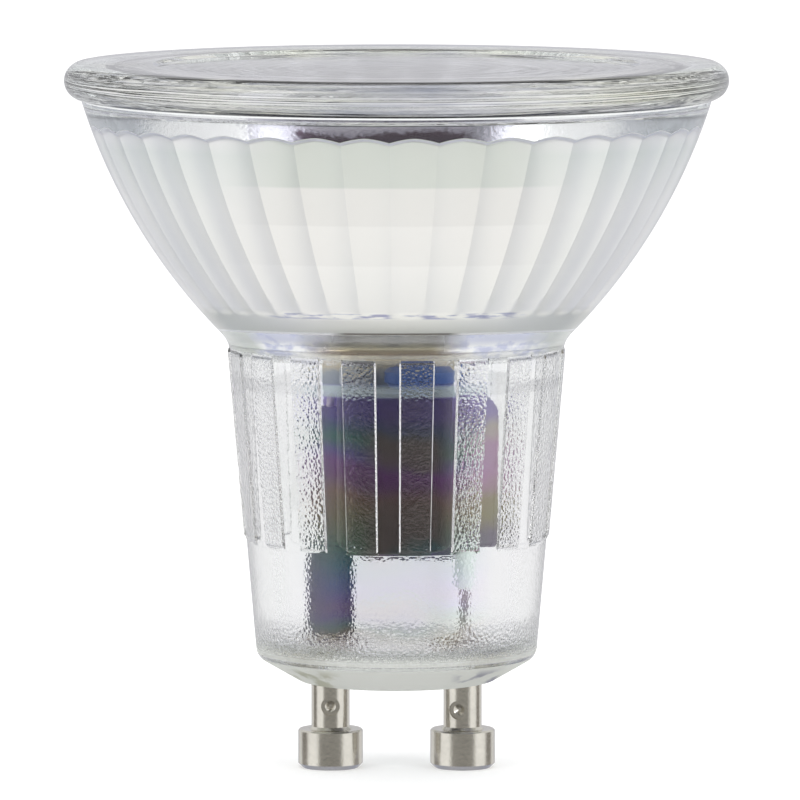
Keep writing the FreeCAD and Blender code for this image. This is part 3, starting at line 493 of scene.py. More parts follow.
# %% Glass, pressed or drawn
def glass_material(name, colour, stain, wave_scale, wave_depth, drawn=False):
    """Clear glass whose colour drifts towards a stain. Drawn glass has waves, and on its bead streaks of
    painted reflection, that run round the axis: their noise reads radius, height and a small share of the
    place. Pressed glass is pebbled and frosted where the mesh's attributes say so, and a matt haze covers
    most of what is frosted."""
    material, tree, shader = new_material(name)
    place, split = places(tree)
    stained = fade(tree, noise(tree, place, GLASS_STAIN_SCALE, 2.0), 0.42, 0.62)
    tint = colour_mix(tree, stained, colour, stain)
    if drawn:
        squares = [times(tree, split[axis], split[axis]) for axis in "XY"]
        radius = maths(tree, "SQRT", plus(tree, *squares))
        place = add(tree, "CombineXYZ", X=radius, Y=times(tree, split["X"], 0.06), Z=split["Z"]).outputs[0]
        # The lens's tint carries painted reflections on its step and bead.
        tint = lens_tint_with_painted_reflections(tree, radius, split["X"], place, tint)
    normal = bumps(tree, noise(tree, place, wave_scale, 2.0), 1.0, wave_depth)
    roughness, surface = 0.0, shader.outputs[0]
    if not drawn:
        pebbled, frosted = [add(tree, "Attribute", attribute_name=mask).outputs["Fac"]
                            for mask in ("pebbled", "frosted")]
        pebbles = add(tree, "Group", node_tree=PEBBLES, Scale=PEBBLE_SCALE, Breakup=PEBBLE_BREAKUP)
        height = times(tree, pebbles.outputs["Height"], pebbled)
        normal = bumps(tree, height, 1.0, PEBBLE_DEPTH, Normal=normal)
        roughness = times(tree, frosted, FROST_ROUGHNESS)
        haze = base_haze(tree, place, split)
        surface = shader_mix(tree, times(tree, frosted, HAZE_SHARE), surface, haze)
    fill(tree, shader, Base_Color=tint, Roughness=roughness, IOR=GLASS_IOR, Transmission_Weight=1.0,
         Normal=normal)
    path = add(tree, "LightPath").outputs
    open_to_light = maths(tree, "MAXIMUM", path["Is Shadow Ray"], path["Is Diffuse Ray"])
    clear = add(tree, "BsdfTransparent", Color=(0.97, 0.98, 0.98)).outputs[0]
    surface = shader_mix(tree, open_to_light, surface, clear)
    fill(tree, tree.nodes["Material Output"], Surface=surface)
    return material


body_glass = glass_material("body_glass", (0.985, 0.985, 0.99), (0.97, 0.98, 0.975), 220.0, 0.02)
lens_glass = glass_material("lens_glass", (0.87, 0.87, 0.89), (0.9, 0.905, 0.8), 1500.0, 0.025, drawn=True)
print("glass materials:", body_glass.name, lens_glass.name)

# %% [markdown]
# ## The glass body
# One press tool makes the whole body, so it is one closed surface. Its outline runs from the floor's
# underside round the neck's foot, up the tapered neck, round the waist, along the cup's arc to the mouth and
# back down inside. Turning that outline would give a plain body; two terms make it this one. Ribs add a
# small step to the neck's radius over set angles. A flute makes the inner wall bulge inwards as a shallow
# arc between two sharp furrows, and ends at the top in an arched shoulder below a plain upright band.

# %% Forms of the glass
UPRIGHT_ROWS, SHOULDER_ROWS, ARCH_CLEARANCE = 4, 8, 0.01


def cone_radius(height, inset):
    """The cup's arc: centre's radius plus the root of (arc radius less inset) squared less rise squared."""
    return CONE_CENTRE[0] + np.sqrt((CONE_ARC_R - inset) ** 2 - (height - CONE_CENTRE[1]) ** 2)


UPRIGHT_R = cone_radius(MOUTH_Z, CONE_WALL)


def neck_radius(height):
    """The neck's straight line between its ribs: the foot's radius plus the rise times the taper's slope."""
    return NECK_FOOT[0] + (height - NECK_FOOT[1]) * math.tan(NECK_TAPER)


def flute_share(angle):
    """Place across the nearest flute, from -1 at one furrow through 0 at its middle to 1 at the other."""
    pitch = TAU / FLUTE_COUNT
    return ((angle - FRONT - FLUTE_PHASE + pitch / 2) % pitch - pitch / 2) / (pitch / 2)


def arch_height(angle):
    """Upper end of the flutes: the top height less a dip times the place across to the power 1.6."""
    return FLUTE_TOP_Z - FLUTE_ARCH_DIP * np.abs(flute_share(angle)) ** 1.6


def fluted_radius(angle, height):
    """Inner wall of the cup. A flute's section is a circle's arc that leaves the furrows at the edge angle:
    its radius is the flute's half width over the sine of that angle, so it narrows with the cup. At the
    arched top the wall turns out to the upright band along a quarter of an ellipse."""
    plain = cone_radius(height, CONE_WALL)
    half_width = plain * math.tan(math.pi / FLUTE_COUNT)
    spread = 1 / math.sin(FLUTE_EDGE_ANGLE)
    bulge = half_width * (np.sqrt(spread ** 2 - flute_share(angle) ** 2) - math.sqrt(spread ** 2 - 1))
    fluted = plain - bulge * np.clip((height - FLUTE_FOOT_Z) / FLUTE_FOOT_FADE, 0, 1)
    below = np.clip((arch_height(angle) - height) / FLUTE_SHOULDER, 0, 1)
    return UPRIGHT_R + (fluted - UPRIGHT_R) * np.sqrt(1 - (1 - below) ** 2)


def wall_heights(angle, top, wall_rows):
    """Heights of the rows inside the cup, as an array of rows and columns, from top down to the flutes'
    foot. The rows run along the arches: a few above them, more on the shoulder, the rest on the wall."""
    arch = arch_height(angle)[None]
    upright = top + np.linspace(0, 1, UPRIGHT_ROWS)[:, None] * (arch + ARCH_CLEARANCE - top)
    shoulder = arch - FLUTE_SHOULDER * (1 - np.cos(np.linspace(0, math.pi / 2, SHOULDER_ROWS)))[:, None]
    end = shoulder[-1:]
    wall = end + np.linspace(0, 1, wall_rows)[1:, None] * (FLUTE_FOOT_Z + FLUTE_FOOT_FADE - end)
    foot = np.repeat(FLUTE_FOOT_Z + FLUTE_FOOT_FADE * np.array([[0.5], [0.0]]), len(angle), 1)
    return np.concatenate([upright, shoulder, wall, foot])


def rib_rise(angle, height):
    """Radius added by the ribs: full height within a rib's angles and heights, with short sloping sides and
    ends that rise as 3t^2 - 2t^3 over RIB_END millimetres."""
    pitch = TAU / RIB_COUNT
    offset = np.abs((angle - FRONT - RIB_PHASE + pitch / 2) % pitch - pitch / 2)
    across = np.clip((RIB_HALF_ANGLE + RIB_SIDE - offset) / (2 * RIB_SIDE), 0, 1)
    share = np.clip(np.minimum(height - RIB_BOTTOM_Z, RIB_TOP_Z - height) / RIB_END, 0, 1)
    return RIB_HEIGHT * across * share ** 2 * (3 - 2 * share)


# %% Outline of the glass body
def waist_arc():
    """Start, centre and end of the hollow round that joins the neck's line and the cup's arc."""
    outward = np.array([math.cos(NECK_TAPER), -math.sin(NECK_TAPER)])
    upward = np.array([math.sin(NECK_TAPER), math.cos(NECK_TAPER)])
    start = np.array(NECK_FOOT) + outward * WAIST_ROUND
    across = (start - CONE_CENTRE) @ outward
    reach = math.sqrt((CONE_ARC_R + WAIST_ROUND) ** 2 - across ** 2)
    centre = start + upward * ((CONE_CENTRE - start) @ upward - reach)
    to_cone = (CONE_CENTRE - centre) / np.linalg.norm(CONE_CENTRE - centre)
    return centre - outward * WAIST_ROUND, centre, centre + to_cone * WAIST_ROUND


def outer_outline():
    """(radius, height) points from the flat underside up to the mouth's outer edge."""
    on_neck, centre, on_cone = waist_arc()
    foot = rounded_line([(BASE_FLAT_R - BASE_INSET, BASE_Z), (BASE_FLAT_R, BASE_Z), NECK_FOOT, on_neck],
                        [BASE_EDGE_ROUND, BASE_CORNER_ROUND], step=0.7, round_step=0.12)[:-1]
    rise = RIB_END * np.linspace(0, 1, 6)
    rib_ends = np.concatenate([RIB_BOTTOM_Z + rise, RIB_TOP_Z - rise])
    foot = np.concatenate([foot, np.stack([neck_radius(rib_ends), rib_ends], axis=-1)])
    foot = foot[np.argsort(foot[:, 1] + 1e-3 * foot[:, 0], kind="stable")]
    waist = short_arc(centre, on_neck, on_cone, WAIST_ROUND, step=0.16)
    height = np.linspace(on_cone[1], MOUTH_Z - MOUTH_BEVEL, 26)
    cone = np.stack([cone_radius(height, 0), height], axis=-1)
    return np.concatenate([foot, waist, cone])


outer = outer_outline()
print("outer outline:", len(outer), "points")


# %% Columns of the glass body
LEAST_TURN = 1e-4


def flute_angles(per_flute):
    """Even angles that meet every cusp between flutes, with this many to a flute."""
    return FRONT + FLUTE_PHASE + (np.arange(FLUTE_COUNT * per_flute) / per_flute + 0.5) * TAU / FLUTE_COUNT


def body_columns(per_flute):
    """Angles of the grid's columns: an even set, and two columns close together at each side of every
    rib."""
    rib = FRONT + RIB_PHASE + np.arange(RIB_COUNT) * TAU / RIB_COUNT
    sides = [rib + side * (RIB_HALF_ANGLE + step * RIB_SIDE) for side in (-1, 1) for step in (-1, 1)]
    angle = np.sort(np.concatenate([flute_angles(per_flute)] + sides) % TAU)
    return angle[np.append(np.diff(angle) > LEAST_TURN, True)]


angles = body_columns(10)
print("columns:", len(angles))

# %% Grid of the glass body
SEAT_START, FLOOR_INSET = 0.1, 0.4
mouth_edge = np.array([[cone_radius(MOUTH_Z, 0) - MOUTH_BEVEL, MOUTH_Z],
                       [UPRIGHT_R + MOUTH_BEVEL, MOUTH_Z]])
seat_top = CONE_CENTRE[1] - math.sqrt((CONE_ARC_R - CONE_WALL) ** 2 - (SEAT_R - CONE_CENTRE[0]) ** 2)
below_flutes = np.linspace(FLUTE_FOOT_Z, seat_top, 7)[1:, None]
cup_height = np.concatenate([wall_heights(angles, MOUTH_Z - MOUTH_BEVEL, 40),
                             np.repeat(below_flutes, len(angles), 1)])
bore_floor_r = BORE_TOP_R - (SEAT_Z - FLOOR_Z) * math.tan(BORE_TAPER)
bore = rounded_line([(SEAT_R, seat_top - SEAT_START), (SEAT_R, SEAT_Z), (BORE_TOP_R, SEAT_Z),
                     (bore_floor_r, FLOOR_Z), (bore_floor_r - FLOOR_ROUND - FLOOR_INSET, FLOOR_Z)],
                    [0.05, 0.1, FLOOR_ROUND], step=0.8, round_step=0.2)

outer_radius = outer[:, :1] + rib_rise(angles[None], outer[:, 1:])
cup_radius = fluted_radius(angles[None], cup_height)
body_radius = np.concatenate([outer_radius, np.repeat(mouth_edge[:, :1], len(angles), 1), cup_radius,
                              np.repeat(bore[:, :1], len(angles), 1)])
body_height = np.concatenate([np.repeat(part, len(angles), 1) if part.shape[1] == 1 else part for part in
                              (outer[:, 1:], mouth_edge[:, 1:], cup_height, bore[:, 1:])])
body_points = ring_points(body_radius, angles[None], body_height)
body_faces = grid_quads(len(body_height), len(angles))
print("body grid:", body_radius.shape)

# %% Close the floor round the pins
HOLE_MARGIN, MERGE_MM = 0.999, 1e-6


def plate_with_holes(height, rim, hole):
    """A flat round plate at this height. rim is its outer ring of points, hole the ring of points of one
    pin hole about the origin. The triangles that fall inside the holes are left out."""
    rings = [rim] + [hole + np.array([side * PIN_X, 0.0]) for side in (-1, 1)]
    flat = np.concatenate(rings)
    edges, first = [], 0
    for ring in rings:
        count = len(ring)
        edges += [(first + i, first + (i + 1) % count) for i in range(count)]
        first += count
    found = delaunay_2d_cdt([Vector(p) for p in flat], edges, [], 1, MERGE_MM)
    points = np.array([(p[0], p[1], height) for p in found[0]])
    triangles = np.array(found[2])
    centre = points[triangles].mean(axis=1)
    kept = np.ones(len(triangles), bool)
    for side in (-1, 1):
        kept &= np.hypot(centre[:, 0] - side * PIN_X, centre[:, 1]) > PIN_HOLE_R * HOLE_MARGIN
    return points, triangles[kept]


hole_angle = np.arange(64) * TAU / 64
hole_ring = ring_points(PIN_HOLE_R, hole_angle, 0.0)[:, :2]
plates = []
for height, radius in ((BASE_Z, outer[0, 0]), (FLOOR_Z, bore[-1, 0])):
    plates.append(plate_with_holes(height, ring_points(radius, angles, 0.0)[:, :2], hole_ring))
all_points, all_faces = [body_points], body_faces.tolist()
first = len(body_points)
for points, triangles in plates:
    all_points.append(points)
    all_faces += (triangles + first).tolist()
    first += len(points)
for side in (-1, 1):
    wall = ring_points(PIN_HOLE_R, hole_angle[None], np.array([[BASE_Z], [FLOOR_Z]]))
    all_points.append(wall + np.array([side * PIN_X, 0, 0]))
    all_faces += grid_quads(2, len(hole_angle), first).tolist()
    first += len(wall)
all_points = np.concatenate(all_points)
print("glass body:", len(all_points), "corners")

# %% [markdown]
# ## Where the glass is pebbled, and where it is frosted
# Two attributes of the mesh say how pebbled and how frosted each corner is, from 0 to 1: fully on the ribs
# and near the floor, faintly between the ribs, and frosted on the base. A material can't tell a rib from the
# gap beside it by itself, and an attribute is cheaper than a picture painted for the purpose.

# %% Masks on the glass
FROST_TOP_Z, FROST_FADE = 9.8, 1.2
FLOOR_BAND_Z, FLOOR_BAND_FADE = 12.0, 1.5
SLACK, ABOVE_RIBS = 0.05, 0.3
PEBBLES_ON_RIB, PEBBLES_BETWEEN, PEBBLES_BELOW, PEBBLES_BY_FLOOR, PEBBLES_ON_BASE = 1.0, 0.03, 0.22, 0.8, 0.15
x, y, height = all_points.T
out, around = np.hypot(x, y), np.arctan2(y, x)
on_base = (out > BASE_FLAT_R - BASE_INSET - SLACK) & (height < NECK_FOOT[1])
on_outside = on_base | (out > neck_radius(height) - SLACK) & (height < RIB_TOP_Z + ABOVE_RIBS)
on_rib = rib_rise(around, height) > RIB_HEIGHT * 0.5
near_floor = np.clip((FLOOR_BAND_Z - height) / FLOOR_BAND_FADE, 0, 1)
off_rib = np.where(height < RIB_BOTTOM_Z, PEBBLES_BELOW + PEBBLES_BY_FLOOR * near_floor, PEBBLES_BETWEEN)
pebbled = np.where(on_base, PEBBLES_ON_BASE, on_outside * np.where(on_rib, PEBBLES_ON_RIB, off_rib))
frosted = on_outside * np.clip((FROST_TOP_Z - height) / FROST_FADE, 0, 1)
glass_body = piece("glass_body", all_points, all_faces, [body_glass], sharp=18.0,
                   attributes={"pebbled": pebbled, "frosted": frosted})
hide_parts("glass_envelope")

# %% [markdown]
# ## The mirror film
# The cup is made bright by a film on its inner wall. The film follows every flute, so from outside the
# flutes show as pale silk-like channels behind clear glass, while inside the cup it is a true mirror. It
# starts close below the mouth, where the upright band's colour is painted with a reflection of the dark
# side of the room, and ends just above the waist. Below that only a trace of it has settled on the bore.
# The trace is thinner than a wavelength: it lets most light through, and what it reflects has the colours
# of oil on water, which change with its thickness and so with height. Both are made as thin closed skins a
# few hundredths of a millimetre inside the glass, where nothing can lie between.

# %% Mirror film
FILM_TOP_Z, FILM_BOTTOM_Z = 50.36, 34.7
FILM_DEPTH, FILM_THICKNESS = 0.02, 0.02


def film_material():
    """Pearly metal seen through glass: bright, with painted shade on the flutes' flanks, cooler and lavender
    grey where it is seen at a slant. Where the wall faces the viewer near the front there are bands of
    painted shading by height, a greenish band of painted reflection under the arches and a broken blue
    line of painted reflection at the flutes' foot; these fade where the wall turns away. The film's lower
    end is dark at the front and white beside it."""
    material, tree, shader = new_material("mirror_film")
    place, split = places(tree)
    height, aside = split["Z"], distance(tree, split["X"])
    warm, low_warm, green = (0.97, 0.96, 0.93), (0.7, 0.71, 0.66), (0.72, 0.75, 0.7)
    plain = place_ramp(tree, height, 34, 50, (
        (34.7, low_warm), (36.0, low_warm), (36.6, warm), (44.0, (0.92, 0.92, 0.9)),
        (48.0, (0.82, 0.85, 0.83)), (49.0, 0.9)))
    # Painted shading and reflection in bands by height, greenish under the arches, shown only where the wall
    # faces the viewer.
    front_painted_shading = place_ramp(tree, height, 34, 50, (
        (34.7, low_warm), (36.6, warm), (39.9, warm), (40.0, (0.93, 0.92, 0.89)), (42.9, (0.93, 0.92, 0.89)),
        (43.0, (0.88, 0.87, 0.84)), (45.7, (0.87, 0.86, 0.83)), (45.85, green), (49, green)))
    slant = add(tree, "LayerWeight", Blend=0.5).outputs["Facing"]
    facing = fade(tree, slant, 0.42, 0.24)
    middle = fade_mm(tree, aside, 12.5, 7.5)
    colour = colour_mix(tree, times(tree, facing, middle), plain, front_painted_shading)
    # Painted reflection: a broken blue line at the flutes' foot, near the front.
    line = fade_mm(tree, distance(tree, height, FLUTE_FOOT_Z + 0.1), 0.26, 0.16)
    stretched = add(tree, "Mapping", Vector=place, Scale=(0.6, 0.6, 5)).outputs[0]
    gap = fade(tree, noise(tree, stretched, 900.0, 4.0), 0.45, 0.58)
    near_front = fade_mm(tree, aside, 9.2, 7.8)
    colour = colour_mix(tree, times(tree, line, gap, facing, near_front), colour, (0.38, 0.39, 0.55))
    end = fade_mm(tree, height, FILM_BOTTOM_Z + 0.14, FILM_BOTTOM_Z + 0.09)
    end_colour = colour_mix(tree, fade_mm(tree, aside, 4.6, 3.6), 1.0, (0.22, 0.2, 0.18))
    colour = colour_mix(tree, end, colour, end_colour)
    # Painted shade: lavender grey where the flutes' flanks are seen at a slant.
    colour = colour_mix(tree, fade(tree, slant, 0.35, 1.0), colour, (0.72, 0.73, 0.84))
    grain = noise(tree, place, 2500.0, 2.0)
    fill(tree, shader, Metallic=0.7, Roughness=0.3, Base_Color=colour, Normal=bumps(tree, grain, 0.25, 0.02))
    return material


# %% Mirrored band
def band_material():
    """The upright band: a mirror with a reflection painted into its colour. Its front is painted with the
    dark side of the room, greyer and grained above, nearly black below, with a dark line where the film ends.
    To both sides the painted reflection is grey, then bright."""
    material, tree, shader = new_material("mirror_band")
    place, split = places(tree)
    grain = noise(tree, place, 3500.0, 2.0)
    rough_edge = drift(tree, grain, 0.8)
    moved = plus(tree, split["Z"], drift(tree, noise(tree, place, 260.0, 2.0), 1.2), rough_edge)
    # Painted reflection of the dark side of the room at the front: greyer above, nearly black below.
    dark = place_ramp(tree, moved, 49, 50.5, (
        (49.05, (0.07, 0.05, 0.08)), (49.6, (0.09, 0.06, 0.09)), (49.85, (0.42, 0.4, 0.48)),
        (50.2, (0.6, 0.58, 0.66)), (50.45, (0.6, 0.6, 0.66))))
    end = fade_mm(tree, split["Z"], FILM_TOP_Z - 0.08, FILM_TOP_Z - 0.06)
    dark = colour_mix(tree, end, dark, (0.08, 0.08, 0.11))
    off_dark = plus(tree, distance(tree, split["X"], -0.95), times(tree, rough_edge, 3.0))
    # Painted reflection to both sides: grey, then bright, then greyer.
    sides = place_ramp(tree, off_dark, 0, 25, (
        (6.6, (0.4, 0.4, 0.46)), (9.2, (0.5, 0.5, 0.56)), (10.2, (0.84, 0.85, 0.86)),
        (15.6, (0.84, 0.85, 0.86)), (17.5, (0.6, 0.62, 0.66))))
    colour = colour_mix(tree, fade_mm(tree, off_dark, 5.6, 6.6), dark, sides)
    fill(tree, shader, Metallic=0.85, Roughness=0.16, Base_Color=colour, Normal=bumps(tree, grain, 0.4, 0.02))
    return material


# %% Skin of the mirror film
def sunk(radius, height, depth):
    """Rows of radii and heights, moved by this depth into the glass along each row's own normal."""
    step_r, step_z = np.gradient(radius, axis=0), np.gradient(height, axis=0)
    length = np.hypot(step_r, step_z)
    return radius - depth * step_z / length, height + depth * step_r / length


film_angles = flute_angles(12)
film_foot = np.linspace(FLUTE_FOOT_Z, FILM_BOTTOM_Z, 7)[1:, None]
film_height = np.concatenate([wall_heights(film_angles, FILM_TOP_Z, wall_rows=56),
                              np.repeat(film_foot, len(film_angles), 1)])
film_wall = fluted_radius(film_angles[None], film_height)
seen_r, seen_z = sunk(film_wall, film_height, FILM_DEPTH + FILM_THICKNESS)
back_r, back_z = sunk(film_wall, film_height, FILM_DEPTH)
skin_radius = np.concatenate([seen_r, back_r[::-1], seen_r[:1]])
skin_height = np.concatenate([seen_z, back_z[::-1], seen_z[:1]])
film_points = ring_points(skin_radius, film_angles[None], skin_height)
film_row = np.arange(len(skin_radius) - 1)
on_band, on_back = film_row < UPRIGHT_ROWS - 1, film_row >= len(film_height)
film_side = np.repeat(np.where(on_band, 2, np.where(on_back, 1, 0)), len(film_angles))
polished = finish("mirror_inside", (0.82, 0.82, 0.84), 0.32, metallic=1.0, amount=0.1, bump=0.1)
piece("mirror_film", film_points, grid_quads(len(skin_radius), len(film_angles)),
      [film_material(), polished, band_material()], film_side, sharp=22.0)

# %% [markdown]
# ## The trace of film in the bore
# A turned skin is enough here, because the bore is round. What makes it is its finish: a tinted mirror whose
# alpha is low, so that most rays pass. A ramp over height, shifted by broad noise, gives the colours their
# order and keeps their borders uneven.


# %% Colours of the trace in the bore
def trace_colours(tree, place, split, shift):
    """Colours of the bore. They run through the orders of interference with height, are dulled in patches
    and at two heights in the middle, and a pale stripe crosses them above the capacitor."""
    moved = plus(tree, split["Z"], shift)
    indigo, violet, green = (0.3, 0.2, 0.95), (0.6, 0.13, 0.8), (0.05, 0.5, 0.34)
    purple, olive, brown = (0.62, 0.3, 0.42), (0.5, 0.42, 0.14), (0.7, 0.36, 0.2)
    lavender, blue = (0.8, 0.8, 0.95), (0.14, 0.3, 0.8)
    tint = place_ramp(tree, moved, 9, 34, (
        (9.5, lavender), (10.6, (0.5, 0.4, 0.4)), (11.3, olive), (11.9, green), (12.8, indigo),
        (13.8, (0.45, 0.2, 0.8)), (15.2, indigo), (16.2, blue), (17.2, (0.05, 0.4, 0.5)),
        (18.4, (0.12, 0.42, 0.24)), (20.0, olive), (21.0, brown), (21.8, purple),
        (22.6, (0.5, 0.1, 0.6)), (23.8, violet), (24.7, indigo),
        (26.2, green), (27.5, (0.15, 0.25, 0.7)), (28.2, indigo), (29.3, indigo), (30.4, (0.3, 0.4, 0.8))))
    patches = fade(tree, noise(tree, place, 160.0, 2.0), 0.45, 0.62, last=0.35)
    middle = fade_mm(tree, distance(tree, split["X"], 0.8), 3.4, 1.8)
    dull_heights = place_ramp(tree, moved, 9, 34, (
        (17.4, 0), (18.0, 0.9), (20.8, 0.9), (21.8, 0), (23.6, 0), (24.6, 0.9), (26.6, 0.9), (27.6, 0)))
    dull = maths(tree, "MAXIMUM", patches, times(tree, middle, dull_heights))
    colour = colour_mix(tree, dull, tint, (0.52, 0.36, 0.32))
    stripe = place_ramp(tree, split["Z"], 28, 31, ((29.1, 0), (29.25, 1), (30.0, 1), (30.2, 0)))
    return colour_mix(tree, stripe, colour, (0.6, 0.7, 0.76))


# %% Colours of the trace at the seat
def seat_colours(tree, place, height, shift, aside, far_aside):
    """Colours round the seat: olive at the front, where an olive-brown band is painted shadow under the
    LED board; painted glare aside, white with lavender patches; grey far aside.
    """
    rough_height = plus(tree, height, times(tree, shift, 0.1))
    # The dark olive-brown band at the front is painted shadow under the LED board.
    front = place_ramp(tree, rough_height, 30, 35, (
        (30.4, (0.3, 0.4, 0.8)), (31.3, (0.95, 0.9, 0.78)), (32.6, (0.98, 0.88, 0.66)),
        (32.85, (0.3, 0.23, 0.17)), (33.3, (0.34, 0.29, 0.17)), (33.8, (0.42, 0.38, 0.26)),
        (34.15, (0.56, 0.54, 0.52)), (34.6, (0.6, 0.59, 0.57)), (34.66, 0.2)))
    patch = fade(tree, noise(tree, place, 900.0, 3.0), 0.42, 0.6)
    patch = maths(tree, "MAXIMUM", patch, fade_mm(tree, height, 33.7, 34.2, last=0.75))
    # Painted glare aside: white with lavender patches.
    glare = colour_mix(tree, patch, 1.0, (0.6, 0.62, 0.8))
    return colour_mix(tree, far_aside, colour_mix(tree, aside, front, glare), (0.68, 0.7, 0.66))


# %% Skin of the trace
def trace_material():
    """A tinted mirror that is mostly clear and pales at a slant. Its cover is dense at the seat, where aside
    it is matt and painted with white glare, and thin further down. Only the face that a ray meets first
    reflects."""
    material, tree, shader = new_material("film_trace")
    place, split = places(tree)
    height = split["Z"]
    shift = drift(tree, noise(tree, place, 130.0, 3.0), 7.0)
    ragged = plus(tree, distance(tree, split["X"], -0.3), times(tree, shift, 0.9))
    aside, far_aside = fade_mm(tree, ragged, 3.0, 6.2), fade_mm(tree, ragged, 8.8, 9.8)
    at_seat = fade_mm(tree, height, 30.4, 31.2)
    slant = add(tree, "LayerWeight", Blend=0.5).outputs["Facing"]
    colour = trace_colours(tree, place, split, shift)
    colour = colour_mix(tree, fade(tree, slant, 0.06, 0.16), colour, (0.64, 0.64, 0.66))
    colour = colour_mix(tree, at_seat, colour, seat_colours(tree, place, height, shift, aside, far_aside))
    cover = place_ramp(tree, height, 9, 35, (
        (9.2, 0.16), (14.0, 0.14), (18.0, 0.14), (29.1, 0.15), (29.25, 0.5), (30.0, 0.5), (30.2, 0.06),
        (31.6, 0.1), (32.4, 0.4), (32.8, 0.85), (34.5, 0.9)))
    thin = colour_mix(tree, at_seat, fade(tree, slant, 0.08, 0.2, 1.0, 0.7), 1.0)
    from_outside = maths(tree, "SUBTRACT", 1.0, add(tree, "NewGeometry").outputs["Backfacing"])
    grain = noise(tree, place, 1100.0, 3.0)
    fill(tree, shader, Base_Color=colour, Alpha=times(tree, cover, thin, from_outside),
         Metallic=maths(tree, "SUBTRACT", 0.9, times(tree, aside, at_seat, 0.75)),
         Roughness=fade_mm(tree, height, 30.0, 32.0, 0.2, 0.12), Normal=bumps(tree, grain, 0.5, 0.03))
    return material


bare_z = np.linspace(FILM_BOTTOM_Z - 0.03, seat_top, 7)[:-1]
trace_r = np.append(cone_radius(bare_z, CONE_WALL), bore[:, 0])
trace_z = np.append(bare_z, bore[:, 1])
trace_front = np.stack(sunk(trace_r, trace_z, FILM_DEPTH + FILM_THICKNESS), axis=-1)
trace_back = np.stack(sunk(trace_r, trace_z, FILM_DEPTH), axis=-1)
trace_outline = np.concatenate([trace_front, trace_back[::-1], trace_front[:1]])
turned_piece("film_trace", trace_outline, 256, trace_material())

# %% [markdown]
# ## The front lens
# A pressed disc with a round bead at its edge. A spigot under it drops into the mouth, and a shallow window
# is sunk in its top. It is a turned shape, so its outline and a count of columns are all it needs. Faint
# rings from the press tool run round it: they come from a bump that changes with radius and height only.

# %% Front lens
SPIGOT_R, SPIGOT_DEPTH = cone_radius(MOUTH_Z, CONE_WALL) - 0.3, 0.6


def circle_through(a, b, c):
    """Centre and radius of the circle through three points, from the two chords' bisectors."""
    rows = 2 * np.array([b - a, c - a])
    sums = np.array([b @ b - a @ a, c @ c - a @ a])
    centre = np.linalg.solve(rows, sums)
    return centre, np.linalg.norm(a - centre)


land = np.array([LENS_LAND_R, LENS_LAND_Z])
crest = np.array([LENS_CREST_R, LENS_TOP_Z])
bead_middle = np.array([LENS_R, (LENS_LAND_Z + LENS_TOP_Z) / 2])
bead_centre, bead_r = circle_through(land, bead_middle, crest)
under = rounded_line([(0, LENS_LAND_Z - SPIGOT_DEPTH), (SPIGOT_R, LENS_LAND_Z - SPIGOT_DEPTH),
                      (SPIGOT_R, LENS_LAND_Z), land], [0.12, 0.1], step=1.2, round_step=0.05)[:-1]
bead = short_arc(bead_centre, land, crest, bead_r, step=0.12)
top = rounded_line([crest, (LENS_WINDOW_R + LENS_STEP, LENS_TOP_Z),
                    (LENS_WINDOW_R, LENS_TOP_Z - LENS_WINDOW_DEPTH), (0, LENS_TOP_Z - LENS_WINDOW_DEPTH)],
                   [0.2, 0.2], step=1.2, round_step=0.08)
cover_lens = turned_piece("cover_lens", np.concatenate([under, bead, top]), 384, lens_glass)
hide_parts("front_lens")

# %% [markdown]
# ## Finishes of the pieces inside
# The driver board is tan laminate, its parts are lacquered, taped or moulded, and the wires are tinned. Each
# gets its own mottled finish. Only the pins stand bare; the rest are seen through glass, so that their colour
# and sheen tell more than their grain.


# %% Driver board
def laminate_material():
    """Laminate under clear lacquer, its tan replaced by painted reflection: colours that change with height
    as the film's do, purplish low down and beside the capacitor, pale grey above it and cream glare next to
    the
    LED board."""
    material = finish("laminate", (0.62, 0.5, 0.32), 0.5, amount=0.35, scale=1600.0, specular=0.25)
    tree = material.node_tree
    place, split = places(tree)
    moved = plus(tree, split["Z"], drift(tree, noise(tree, place, 400.0, 3.0), 3.0))
    # Painted reflection in the board's colour: the film's colours by height, with cream glare at the top.
    board_painted_reflection = place_ramp(tree, moved, 16, 34, (
        (16.2, (0.1, 0.07, 0.13)), (18.2, (0.11, 0.08, 0.13)), (19.4, (0.2, 0.18, 0.07)),
        (21.2, (0.23, 0.19, 0.09)), (22.8, (0.38, 0.2, 0.33)), (24.6, (0.42, 0.23, 0.38)),
        (26.2, (0.44, 0.38, 0.32)), (27.3, (0.28, 0.22, 0.44)), (28.5, (0.28, 0.24, 0.46)),
        (29.0, (0.34, 0.4, 0.44)), (30.1, (0.4, 0.44, 0.48)), (30.6, (0.72, 0.64, 0.48))))
    fill(tree, tree.nodes["Principled BSDF"], Base_Color=board_painted_reflection)
    return material


